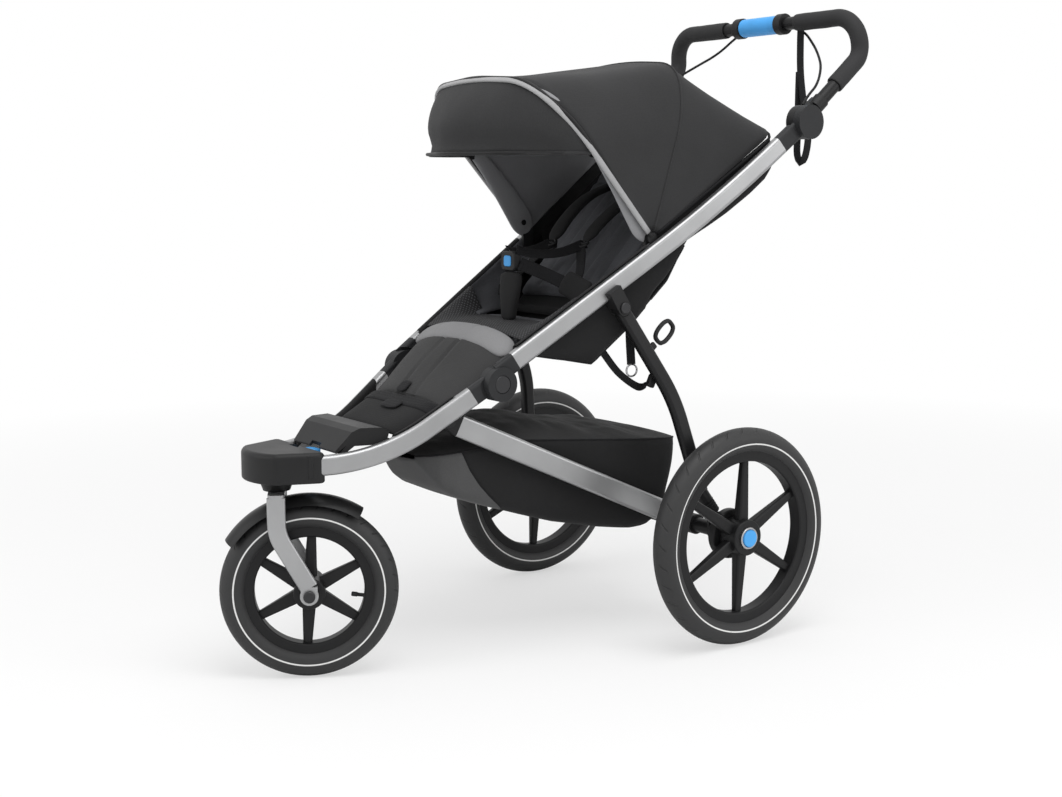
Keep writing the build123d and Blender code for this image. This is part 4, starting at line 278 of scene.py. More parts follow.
@dataclass(frozen=True)
class Tread:
    """Tyre rubber: a pale line on the side wall, and shallow slanted cuts across the tread, painted darker
    inside as painted shade.
    """

    name: str
    centre: Point
    axis: Point
    line_radius: float
    outer: float
    line_half: float = 0.00125
    cuts: int = 34

    def build(self) -> bpy.types.Material:
        """Build the material."""
        nodes = Nodes(self.name)
        spoke = nodes.vector("SUBTRACT", "Vector", nodes.place, self.centre)
        across = nodes.vector("DOT_PRODUCT", "Value", spoke, self.axis)
        turned = nodes.vector("CROSS_PRODUCT", "Vector", spoke, self.axis)
        radius = nodes.vector("LENGTH", "Value", turned)
        parts = nodes.add("SeparateXYZ", Vector=turned)
        level = nodes.math("ADD", nodes.math("MULTIPLY", parts.outputs[0], -self.axis[1]),
                           nodes.math("MULTIPLY", parts.outputs[1], self.axis[0]))
        angle = nodes.math("ARCTAN2", level, parts.outputs[2])
        off_line = nodes.math("ABSOLUTE", nodes.math("SUBTRACT", radius, self.line_radius))
        line = nodes.ramp(off_line, 1.0, 0.0, self.line_half * 0.75, self.line_half * 1.25)
        side = nodes.math("ABSOLUTE", across)
        slant = nodes.math("ADD", nodes.math("MULTIPLY", angle, self.cuts / (2 * math.pi)),
                           nodes.math("MULTIPLY", side, 26.0))
        saw = nodes.math("ABSOLUTE", nodes.math("SUBTRACT", nodes.math("FRACT", slant), 0.5))
        cut = nodes.ramp(saw, 1.0, 0.0, 0.035, 0.075)
        shoulder = nodes.math("MULTIPLY", nodes.ramp(side, 0.0, 1.0, 0.004, 0.007),
                              nodes.ramp(side, 1.0, 0.0, 0.016, 0.019))
        tread = nodes.math("MULTIPLY", nodes.math("MULTIPLY", cut, shoulder),
                           nodes.ramp(radius, 0.0, 1.0, self.outer - 0.017, self.outer - 0.014))
        dust = nodes.noise(11.0, 5.0)
        rubber = nodes.mix(nodes.ramp(dust, 0.0, 1.0), rgba(Shade.TYRE, 0.85), rgba(Shade.TYRE, 1.25))
        # Darken the rubber in the cuts: painted shade in the grooves.
        rubber = nodes.mix(nodes.math("MULTIPLY", tread, 0.7), rubber, rgba(Shade.BLACK, 0.4))
        nodes.link("Base Color", nodes.mix(line, rubber, rgba(Shade.WHITE_LINE)))
        nodes.link("Roughness", nodes.ramp(dust, 0.52, 0.64))
        height = nodes.math("SUBTRACT", nodes.math("MULTIPLY", nodes.noise(500.0, 2.0), 0.06), tread)
        nodes.link("Normal", nodes.bump(height, 0.8, 0.0012))
        return nodes.material


@dataclass(frozen=True)
class Net:
    """Black net drawn by the material: black cords round diamond holes, which are painted pale as painted light
    seen through them.
    """

    name: str
    pitch: float = 0.0075

    def build(self) -> bpy.types.Material:
        """Build the material."""
        nodes = Nodes(self.name)
        parts = nodes.add("SeparateXYZ", Vector=nodes.place)
        cells = []
        for sign in (1.0, -1.0):
            slant = nodes.math("ADD", nodes.math("MULTIPLY", parts.outputs[0], sign / self.pitch),
                               nodes.math("MULTIPLY", parts.outputs[1], 1.0 / self.pitch))
            cells.append(nodes.math("ABSOLUTE", nodes.math("SUBTRACT", nodes.math("FRACT", slant), 0.5)))
        hole = nodes.math("MAXIMUM", cells[0], cells[1])
        cord = nodes.ramp(hole, 0.0, 1.0, 0.17, 0.27)
        # The holes take the liner's grey at 0.8 as painted light seen through them; the cords are black.
        nodes.link("Base Color", nodes.mix(cord, rgba(Shade.LINER, 0.8), rgba(Shade.NET, 0.9)))
        nodes.link("Roughness", 0.8)
        nodes.link("Normal", nodes.bump(cord, 0.9, 0.0015))
        return nodes.material


@dataclass(frozen=True)
class Look:
    """A finish, with the record's slot that it stands for."""

    material: bpy.types.Material
    slot: str


# ---- mesh helpers -------------------------------------------------------------------------------
def lerp(a: float, b: float, t: float) -> float:
    """Return the value a share t of the way from a to b."""
    return a + (b - a) * t


def mm(*values: float) -> Vector:
    """Return a point given in millimetres as metres."""
    return Vector(values) * MM


@dataclass(frozen=True)
class UpperTube:
    """Middle line of the frame's upper tubes, and half a tube's width, in millimetres."""

    hub_x: float = 162.0
    hub_y: float = -424.0
    hub_z: float = 514.8
    toe: float = 9.06
    rise: float = 0.6476
    bend_from: float = -150.0
    bend: float = 0.00024
    half: float = 11.5

    def x(self, y: float) -> float:
        """Return the middle's place across the stroller at y."""
        return self.hub_x + (y - self.hub_y) * math.tan(math.radians(self.toe))

    def straight_z(self, y: float) -> float:
        """Return the height at y of the tube's straight lower part, drawn on."""
        return self.hub_z + (y - self.hub_y) * self.rise

    def z(self, y: float) -> float:
        """Return the middle's height at y, where the upper part steepens gently."""
        return self.straight_z(y) + max(0.0, y - self.bend_from) ** 2 * self.bend


TUBE = UpperTube()


def value_at(line: Line, place: float) -> float:
    """Return the second value of a line of pairs at a place along the first one."""
    for (start, low), (end, high) in zip(line, line[1:]):
        if place <= end:
            return lerp(low, high, max(0.0, (place - start) / (end - start)))
    return line[-1][1]


def arc_points(knots: Sequence[Vector], count: int) -> list[Vector]:
    """Return evenly spaced points of a smooth line through the knots.

    Args:
        knots: Points that the line passes through.
        count: How many points to return.

    Returns:
        The points, in order.
    """
    ends = [knots[0] * 2 - knots[1], *knots, knots[-1] * 2 - knots[-2]]
    fine: list[Vector] = []
    for p0, p1, p2, p3 in zip(ends, ends[1:], ends[2:], ends[3:]):
        for step in range(CURVE_STEPS):
            t = step / CURVE_STEPS
            fine.append(0.5 * ((2 * p1) + (p2 - p0) * t + (2 * p0 - 5 * p1 + 4 * p2 - p3) * t * t
                               + (3 * p1 - p0 - 3 * p2 + p3) * t ** 3))
    fine.append(knots[-1].copy())
    return evenly(fine, count)


def loft(bm: bmesh.types.BMesh, sections: Sequence[Section], closed: bool, caps: bool = False) -> None:
    """Bridge a run of sections into one skin.

    Args:
        bm: The mesh to add to.
        sections: Lists of as many points each.
        closed: Whether each section is a ring.
        caps: Whether the first and last rings are filled.
    """
    loops = []
    for section in sections:
        verts = [bm.verts.new(point) for point in section]
        pairs = list(zip(verts, verts[1:]))
        if closed:
            pairs.append((verts[-1], verts[0]))
        loops.append([bm.edges.new(pair) for pair in pairs])
    for first, second in zip(loops, loops[1:]):
        bmesh.ops.bridge_loops(bm, edges=first + second)
    if caps:
        for loop in (loops[0], loops[-1]):
            bmesh.ops.contextual_create(bm, geom=loop)
    bmesh.ops.recalc_face_normals(bm, faces=bm.faces)


def frame_at(points: Sequence[Vector], index: int, up: Vector) -> tuple[Vector, Vector]:
    """Return the side and top directions of a line at one of its points, with `up` steering the side."""
    ahead = (points[min(index + 1, len(points) - 1)] - points[max(index - 1, 0)]).normalized()
    side = ahead.cross(up).normalized()
    return side, side.cross(ahead).normalized()


def put_in_scene(name: str, data: bpy.types.ID | None) -> bpy.types.Object:
    """Return a new object of that name in the scene, for a mesh, curve, light or camera."""
    thing = bpy.data.objects.new(name, data)
    bpy.context.scene.collection.objects.link(thing)
    return thing


def piece(bm: bmesh.types.BMesh, name: str, look: Look, body: str | None) -> bpy.types.Object:
    """Turn a mesh into a named, smooth piece that rides on a body.

    Args:
        bm: The finished mesh, which is freed.
        name: The piece's name.
        look: Its finish.
        body: The body that it rides on, or None.

    Returns:
        The new object.
    """
    bmesh.ops.remove_doubles(bm, verts=bm.verts, dist=MERGE)
    bmesh.ops.recalc_face_normals(bm, faces=bm.faces)
    mesh = bpy.data.meshes.new(name)
    bm.to_mesh(mesh)
    bm.free()
    for polygon in mesh.polygons:
        polygon.use_smooth = True
    mesh.materials.append(look.material)
    thing = put_in_scene(name, mesh)
    if body is not None:
        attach(thing, body)
    LOG.info("made %s: %d faces", name, len(mesh.polygons))
    return thing


def round_line(points: Sequence[Vector], radius: float, sides: int,
               up: Vector = Vector((0.0, 0.0, 1.0))) -> bmesh.types.BMesh:
    """Return a round cord or wire along points, with closed ends."""
    bm = bmesh.new()
    turns = [2 * math.pi * side / sides for side in range(sides)]
    sections = []
    for index, point in enumerate(points):
        side, top = frame_at(points, index, up)
        sections.append([point + side * math.cos(turn) * radius + top * math.sin(turn) * radius
                         for turn in turns])
    loft(bm, sections, closed=True, caps=True)
    return bm


def thicken(thing: bpy.types.Object, thick: float) -> None:
    """Give a sheet its thickness in millimetres, half on each side, with a live modifier."""
    solid = thing.modifiers.new("wall", "SOLIDIFY")
    solid.thickness = thick * MM
    solid.offset = 0.0


def coat(thing: bpy.types.Object, material: bpy.types.Material) -> None:
    """Give the whole of a piece one finish."""
    thing.data.materials.clear()
    thing.data.materials.append(material)
    for polygon in thing.data.polygons:
        polygon.material_index = 0


def soften(thing: bpy.types.Object, levels: int = 1) -> None:
    """Round a piece with a subdivision surface of equal levels."""
    surface = thing.modifiers.new("surface", "SUBSURF")
    surface.levels = levels
    surface.render_levels = levels


# ---- shaping lines and soft pieces --------------------------------------------------------------
def bent_line(points: Sequence[Vector], reach: float, count: int) -> list[Vector]:
    """Return evenly spaced points of a run of straight lines with rounded corners.

    Args:
        points: The corners, with the two ends.
        reach: How far each rounding starts from its corner, at most.
        count: How many points to return.

    Returns:
        The points, in order.
    """
    fine = [points[0].copy()]
    for before, here, after in zip(points, points[1:], points[2:]):
        into, out = (before - here), (after - here)
        span = min(reach, into.length * 0.48, out.length * 0.48)
        start, end = here + into.normalized() * span, here + out.normalized() * span
        for step in range(CORNER_STEPS + 1):
            t = step / CORNER_STEPS
            fine.append(start.lerp(here, t).lerp(here.lerp(end, t), t))
    fine.append(points[-1].copy())
    return evenly(fine, count)


def evenly(fine: Sequence[Vector], count: int) -> list[Vector]:
    """Return points at even steps along a run of straight lines."""
    marks = [0.0]
    for a, b in zip(fine, fine[1:]):
        marks.append(marks[-1] + (b - a).length)
    points = []
    place = 0
    for index in range(count):
        want = marks[-1] * index / (count - 1)
        while place < len(fine) - 2 and marks[place + 1] < want:
            place += 1
        span = marks[place + 1] - marks[place]
        share = (want - marks[place]) / span if span > 0 else 0.0
        points.append(fine[place].lerp(fine[place + 1], share))
    return points


def smoothstep(t: float) -> float:
    """Return t eased in and out between 0 and 1."""
    t = min(1.0, max(0.0, t))
    return t * t * (3 - 2 * t)


def ridge(distance: float, width: float) -> float:
    """Return a bell of height 1 at distance 0, falling off over a width."""
    return math.exp(-(distance / width) ** 2)


class Crumple(Enum):
    """Soft crumples of the cloths: folds per metre, their height in millimetres, and a seed."""

    CANOPY = (9.0, 3.2, 0.0)
    SKIRT = (16.0, 2.0, 51.0)
    VISOR = (12.0, 1.6, 7.0)
    WALL = (14.0, 1.5, 4.0)
    FALL = (15.0, 2.2, 61.0)
    WING = (20.0, 2.0, 81.0)
    SEAT = (22.0, 1.6, 11.0)
    BACK = (16.0, 2.2, 12.0)
    LEG = (18.0, 1.4, 5.0)
    BAG = (10.0, 2.0, 21.0)
    COVER_BROAD = (17.0, 7.0, 31.0)
    COVER_FINE = (34.0, 2.6, 33.0)
    POUCH = (11.0, 3.0, 41.0)
    GRIP = (40.0, 0.5, 71.0)

    def at(self, point: Vector, sibling: float = 0.0) -> float:
        """Return its height at a point, the same each run.

        Args:
            point: Where, in metres.
            sibling: Added to the seed, for another crumple of the same kind.

        Returns:
            The height there, in metres.
        """
        scale, height, seed = self.value
        seed += sibling
        return height * MM * noise.noise(point * scale + Vector((seed, seed * 1.7, -seed)))


def reshape(thing: bpy.types.Object, move: Callable[[Vector, Vector], Vector]) -> None:
    """Move each point of a piece by what `move` returns for its place and normal."""
    mesh = thing.data
    normals = [vertex.normal.copy() for vertex in mesh.vertices]
    for vertex, normal in zip(mesh.vertices, normals):
        vertex.co = vertex.co + move(vertex.co.copy(), normal)
    mesh.update()


def cloth(sections: Sequence[Section], name: str, look: Look, body: str | None, held: str, rests_on: str,
          thick: float) -> bpy.types.Object:
    """Make a sheet of cloth from a run of lines, and work out the size and area that its lines measure.

    Args:
        sections: The lines, from one edge to the opposite one.
        name: Its name.
        look: Its finish.
        body: The body that it rides on, or None.
        held: How it is held; not used.
        rests_on: The node that it hangs from or lies on; not used.
        thick: Its thickness in millimetres.

    Returns:
        The sheet.
    """
    bm = bmesh.new()
    loft(bm, sections, closed=False)
    thing = piece(bm, name, look, body)
    across, along = (
        math.ceil(1000 * max(sum((b - a).length for a, b in zip(line, line[1:])) for line in rows)) / 1000
        for rows in (sections, list(zip(*sections))))
    area = sum((c - a).cross(d - b).length / 2 for first, second in zip(sections, sections[1:])
               for a, b, c, d in zip(first, first[1:], second[1:], second))
    area = min(max(area, LEAST_AREA * across * along), across * along)
    thicken(thing, thick)
    return thing


def combine(parts: Sequence[bmesh.types.BMesh]) -> bmesh.types.BMesh:
    """Return one mesh that holds all the given ones, which are freed."""
    whole = bmesh.new()
    for part in parts:
        mesh = bpy.data.meshes.new("part")
        part.to_mesh(mesh)
        part.free()
        whole.from_mesh(mesh)
        bpy.data.meshes.remove(mesh)
    return whole


def lathe(profile: Sequence[tuple[float, float]], foot: Vector, along: Vector, steps: int) -> bmesh.types.BMesh:
    """Return a shape turned about a line.

    Args:
        profile: Its outline, as (radius, distance along the line) in millimetres.
        foot: Where the line starts.
        along: The line's direction.
        steps: How many steps go round it.

    Returns:
        The mesh.
    """
    bm = bmesh.new()
    side = along.orthogonal().normalized()
    verts = [bm.verts.new(foot + side * radius * MM + along * reach * MM) for radius, reach in profile]
    edges = [bm.edges.new(pair) for pair in zip(verts, verts[1:])]
    bmesh.ops.spin(bm, geom=verts + edges, cent=foot, axis=along, angle=2 * math.pi, steps=steps,
                   use_merge=True)
    return bm


def ribbon(points: Sequence[Vector], ups: Sequence[Vector], widths: Sequence[float], thick: float,
           crown: float, round_ends: bool = False) -> bmesh.types.BMesh:
    """Return a flat strap or a padded strip along points.

    Args:
        points: Its middle line.
        ups: The way its face looks at each point.
        widths: Its width at each point.
        thick: Its thickness at the edges.
        crown: How much thicker it is in the middle.
        round_ends: Whether it narrows and thins to a round end at both ends.

    Returns:
        The closed mesh.
    """
    shares = (-0.5, -0.46, -0.3, 0.0, 0.3, 0.46, 0.5)
    last = len(points) - 1
    sections = []
    for index, (point, up, width) in enumerate(zip(points, ups, widths)):
        side, top = frame_at(points, index, up)
        squeeze = 1.0
        if round_ends:
            near = min(index, last - index) / max(1.0, 0.12 * last)
            squeeze = math.sqrt(max(0.06, 1 - (1 - min(1.0, near)) ** 2))
        rise = [squeeze * (thick / 2 + crown / 2 * (1 - (2 * share) ** 4)) for share in shares]
        rise[0] = rise[-1] = squeeze * thick * 0.2
        upper = [point + side * share * width * squeeze + top * height for share, height in zip(shares, rise)]
        lower = [point + side * share * width * squeeze - top * height for share, height in zip(shares, rise)]
        sections.append(upper + lower[::-1])
    bm = bmesh.new()
    loft(bm, sections, closed=True, caps=True)
    return bm


def mirrored(side: int, *places: Point) -> list[Point]:
    """Return places with X on the given side: 1 for the user's left, -1 for the right."""
    return [(side * x, y, z) for x, y, z in places]


def strap(knots: Sequence[Point], up: Point, width: float, thick: float, name: str, look: Look,
          body: str | None, crown: float = 0.0, count: int = 36, round_ends: bool = False) -> bpy.types.Object:
    """Make one strap or padded strip.

    Args:
        knots: Places that its smooth middle line passes through, in millimetres.
        up: The way its face looks.
        width: Its width in millimetres.
        thick: Its thickness at the edges, in millimetres.
        name: Its name.
        look: Its finish.
        body: The body that it rides on, or None.
        crown: How much thicker it is in the middle, in millimetres.
        count: How many steps it is made of.
        round_ends: Whether both ends are round.

    Returns:
        The strap.
    """
    line = arc_points([mm(*knot) for knot in knots], count)
    bm = ribbon(line, [Vector(up)] * count, [width * MM] * count, thick * MM, crown * MM, round_ends)
    return piece(bm, name, look, body)


@dataclass
class Stuffing:
    """How a solid of the frame becomes a filled, sewn cushion."""

    node: str
    name: str
    voxel: float = 0.005
    start_in: float = 0.002
    pressure: float = 4.0
    cap: float = 0.009
    steps: int = 20
    fill: float = 0.6
    filled: bool = True
    levels: int = 1

    def remeshed(self) -> bpy.types.Object:
        """Return an even-meshed copy of the node, a little smaller than it."""
        bm = bmesh.new()
        bm.from_mesh(frame["nodes"][self.node].data)
        bmesh.ops.remove_doubles(bm, verts=bm.verts, dist=MERGE)
        mesh = bpy.data.meshes.new(self.name)
        bm.to_mesh(mesh)
        bm.free()
        thing = put_in_scene(self.name, mesh)
        voxels = thing.modifiers.new("voxels", "REMESH")
        voxels.mode = "VOXEL"
        voxels.voxel_size = self.voxel
        relax = thing.modifiers.new("relax", "SMOOTH")
        relax.iterations = 4
        self.bake(thing)
        reshape(thing, lambda point, normal: -normal * self.start_in)
        return thing

    def bake(self, thing: bpy.types.Object) -> None:
        """Replace a piece's mesh by what its modifiers make of it."""
        graph = bpy.context.evaluated_depsgraph_get()
        baked = bpy.data.meshes.new_from_object(thing.evaluated_get(graph), depsgraph=graph)
        thing.modifiers.clear()
        thing.data = baked

    def finish(self, thing: bpy.types.Object, look: Look, body: str) -> None:
        """Coat a copy of the node and put it in the node's place."""
        coat(thing, look.material)
        for polygon in thing.data.polygons:
            polygon.use_smooth = True
        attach(thing, body)
        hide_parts(self.node)

    def blow_up(self, thing: bpy.types.Object) -> None:
        """Fill the cushion with pressure, and hold each point near where it began."""
        scene = bpy.context.scene
        begin = [vertex.co.copy() for vertex in thing.data.vertices]
        cloth = thing.modifiers.new("cloth", "CLOTH")
        cloth.settings.use_pressure = True
        cloth.settings.uniform_pressure_force = self.pressure
        cloth.settings.quality = 4
        cloth.settings.effector_weights.gravity = 0.0
        cloth.point_cache.frame_end = self.steps
        for step in range(1, self.steps + 1):
            scene.frame_set(step)
        graph = bpy.context.evaluated_depsgraph_get()
        swollen = thing.evaluated_get(graph).to_mesh()
        ends = [vertex.co.copy() for vertex in swollen.vertices]
        thing.modifiers.clear()
        for vertex, start, end in zip(thing.data.vertices, begin, ends):
            shift = end - start
            vertex.co = start + shift * min(1.0, self.cap / max(shift.length, 1e-9))
        thing.data.update()
        scene.frame_set(1)

    def build(self, look: Look, body: str, sew: Callable[[Vector, Vector], Vector]) -> bpy.types.Object:
        """Make the cushion.

        Args:
            look: Its cloth.
            body: The body it rides on.
            sew: Moves that draw in its seams and channels.

        Returns:
            The cushion, which stands for its node.
        """
        thing = self.remeshed()
        if self.filled:
            self.blow_up(thing)
        reshape(thing, sew)
        if self.levels:
            soften(thing, self.levels)
        self.finish(thing, look, body)
        LOG.info("made %s: %d faces", self.name, len(thing.data.polygons))
        return thing


# ---- studio -------------------------------------------------------------------------------------
@dataclass
class Studio:
    """Camera, lights, floor and world around the object."""

    eye: Point = (2.319892, -1.884184, 0.848745)
    yaw: float = 0.9453
    pitch: float = 0.1140
    roll: float = -0.0014
    focal_px: float = 1521.05
    centre_px: tuple[float, float] = (544.21, 352.97)
    size_px: tuple[int, int] = (1062, 797)
    sensor: float = 36.0
    floor_half: float = 14.0

    def camera(self) -> None:
        """Make the camera at its place, with a small shift for its off-centre axis."""
        data = bpy.data.cameras.new("camera")
        width, height = self.size_px
        data.sensor_fit = "HORIZONTAL"
        data.sensor_width = self.sensor
        data.lens = self.sensor * self.focal_px / width
        data.shift_x = 0.5 - self.centre_px[0] / width
        data.shift_y = (self.centre_px[1] - height / 2) / width
        data.clip_end = 100.0
        camera = put_in_scene("camera", data)
        turn = Matrix.Rotation(self.yaw, 4, "Z") @ Matrix.Rotation(math.pi / 2 - self.pitch, 4, "X")
        camera.matrix_world = Matrix.Translation(self.eye) @ turn @ Matrix.Rotation(self.roll, 4, "Z")
        bpy.context.scene.camera = camera

    def floor(self) -> None:
        """Make the pale floor, which keeps the object's shadow."""
        nodes = Nodes("floor_paper")
        nodes.link("Base Color", (0.93, 0.93, 0.93, 1.0))
        nodes.link("Roughness", 0.9)
        nodes.link("Specular IOR Level", 0.0)
        away = nodes.vector("LENGTH", "Value", nodes.place)
        open_floor = nodes.ramp(away, 0.55, 1.0, 1.0, 3.2)
        seen = nodes.add("LightPath").outputs["Is Camera Ray"]
        glow = nodes.add("Emission", Color=(1.0, 1.0, 1.0, 1.0), Strength=1.0)
        both = nodes.add("MixShader", i0=nodes.math("MULTIPLY", open_floor, seen), i1=nodes.shader.outputs[0],
                         i2=glow.outputs[0])
        nodes.tree.links.new(both.outputs[0], nodes.tree.nodes["Material Output"].inputs["Surface"])
        bm = bmesh.new()
        bmesh.ops.create_grid(bm, x_segments=2, y_segments=2, size=self.floor_half)
        mesh = bpy.data.meshes.new("floor")
        bm.to_mesh(mesh)
        bm.free()
        mesh.materials.append(nodes.material)
        put_in_scene("floor", mesh)

    def world(self) -> None:
        """Make a world that is plain light, and white where it is seen or mirrored."""
        world = bpy.data.worlds.new("studio")
        bpy.context.scene.world = world
        world.use_nodes = True
        tree = world.node_tree
        light = tree.nodes["Background"]
        light.inputs["Color"].default_value = (1.0, 1.0, 1.0, 1.0)
        light.inputs["Strength"].default_value = 0.62
        white = tree.nodes.new("ShaderNodeBackground")
        white.inputs["Color"].default_value = (1.0, 1.0, 1.0, 1.0)
        white.inputs["Strength"].default_value = 1.0
        path = tree.nodes.new("ShaderNodeLightPath")
        seen = tree.nodes.new("ShaderNodeMath")
        seen.operation = "MAXIMUM"
        tree.links.new(path.outputs["Is Camera Ray"], seen.inputs[0])
        tree.links.new(path.outputs["Is Transmission Ray"], seen.inputs[1])
        both = tree.nodes.new("ShaderNodeMath")
        both.operation = "MAXIMUM"
        tree.links.new(seen.outputs[0], both.inputs[0])
        tree.links.new(path.outputs["Is Glossy Ray"], both.inputs[1])
        mix = tree.nodes.new("ShaderNodeMixShader")
        tree.links.new(both.outputs[0], mix.inputs[0])
        tree.links.new(light.outputs[0], mix.inputs[1])
        tree.links.new(white.outputs[0], mix.inputs[2])
        tree.links.new(mix.outputs[0], tree.nodes["World Output"].inputs["Surface"])

    def lamp(self, name: str, spot: Point, target: Point, size: float, watts: float) -> None:
        """Make one square soft box that looks at a point."""
        data = bpy.data.lights.new(name, "AREA")
        data.size = size
        data.energy = watts
        lamp = put_in_scene(name, data)
        lamp.location = spot
        lamp.rotation_euler = (Vector(target) - Vector(spot)).to_track_quat("-Z", "Y").to_euler()

    def build(self) -> None:
        """Make everything that isn't the object."""
        self.camera()
        self.floor()
        self.world()
        self.lamp("key", (1.2, -0.6, 3.6), (0.0, -0.2, 0.5), 2.4, 62.0)
        self.lamp("side", (3.4, 1.6, 1.8), (0.0, 0.0, 0.6), 2.0, 24.0)
        self.lamp("front", (-0.8, -3.6, 1.9), (0.0, -0.3, 0.5), 2.0, 22.0)
        bpy.context.scene.view_settings.view_transform = "Standard"


# ---- finishes of the frame's own pieces ---------------------------------------------------------
@dataclass
class HardParts:
    """Finishes of the pieces that the frame brings ready-made.

    Those kept in finishes are used again for the trim.
    """

    finishes: dict[str, bpy.types.Material] = field(default_factory=dict)

    def build(self) -> None:
        """Build the finishes and put them on their nodes."""
        silver = Metal("silver_anodised", Shade.SILVER).build()
        fork = Metal("fork_silver", Shade.FORK_SILVER, 0.40, 0.75).build()
        zinc = Metal("zinc_plate", Shade.ZINC, 0.3, 1.0, 400.0).build()
        dark_steel = Metal("black_oxide", Shade.DARK_STEEL, 0.42, 0.6, 500.0).build()
        black = Moulded("black_moulding", Shade.SOFT_BLACK, 0.46).build()
        hub = Moulded("hub_moulding", Shade.HUB_GREY, 0.48).build()
        leg = Moulded("leg_coating", Shade.BLACK, 0.38, 1400.0, 0.12).build()
        rim = Moulded("rim_moulding", Shade.RIM, 0.42, 1200.0, 0.15).build()
        foam = Moulded("grip_foam", Shade.FOAM, 0.72, 700.0, 0.5, 0.25).build()
        blue = Moulded("blue_moulding", Shade.BLUE, 0.42, 1200.0, 0.1).build()
        rubber = Moulded("cable_rubber", Shade.BLACK, 0.5, 1500.0, 0.1).build()
        fender = Moulded("fender_moulding", Shade.SOFT_BLACK, 0.36, 1500.0, 0.08).build()
        self.finishes = {"black": black, "rubber": rubber, "zinc": zinc, "foam": foam}
        by_finish = {
            silver: ("front_tubes", "upper_tubes", "lower_bars"),
            fork: ("fork",),
            zinc: ("shock_rods", "hub_cap_left", "hub_cap_right"),
            dark_steel: ("frame_pins", "upper_pins", "front_axle"),
            black: ("nose_housing", "tube_brackets", "footrest", "bar_brackets", "bar_fittings", "hub_carriers",
                    "brake_drums", "brake_clamps", "buckle_housing", "brake_pedal", "handle_arms", "visor_wire",
                    "canopy_bow", "hub_cross_tube"),
            hub: ("fold_hubs", "hub_arms", "handle_hubs"),
            leg: ("rear_legs", "rear_axle_beam", "handle_tube"),
            rim: ("front_rim", "rear_rim_left", "rear_rim_right"),
            blue: ("swivel_lever", "buckle_button", "axle_button_left", "axle_button_right", "twist_grip"),
            fender: ("fender",),
        }
        for material, names in by_finish.items():
            for name in names:
                self.dress(name, material)

    def dress(self, name: str, material: bpy.types.Material) -> None:
        """Put a finish on a node's own slots."""
        coat(frame["nodes"][name], material)


@dataclass
class Tyres:
    """The three tyres, each with its pale line round the side wall."""

    rear_line: float = 0.1722
    front_line: float = 0.1278
    rear_r: float = 0.200
    front_r: float = 0.152

    def build(self, parts: HardParts) -> None:
        """Build one finish for each tyre, centred on its own axle."""
        for node, joint, line, outer in (
                ("rear_tyre_left", "rear_wheel_left_spin", self.rear_line, self.rear_r),
                ("rear_tyre_right", "rear_wheel_right_spin", self.rear_line, self.rear_r),
                ("front_tyre", "front_wheel_spin", self.front_line, self.front_r)):
            place = JOINTS[joint]
            finish = Tread(node + "_rubber", tuple(place["pos_m"]), tuple(place["axis"]), line, outer)
            parts.dress(node, finish.build())


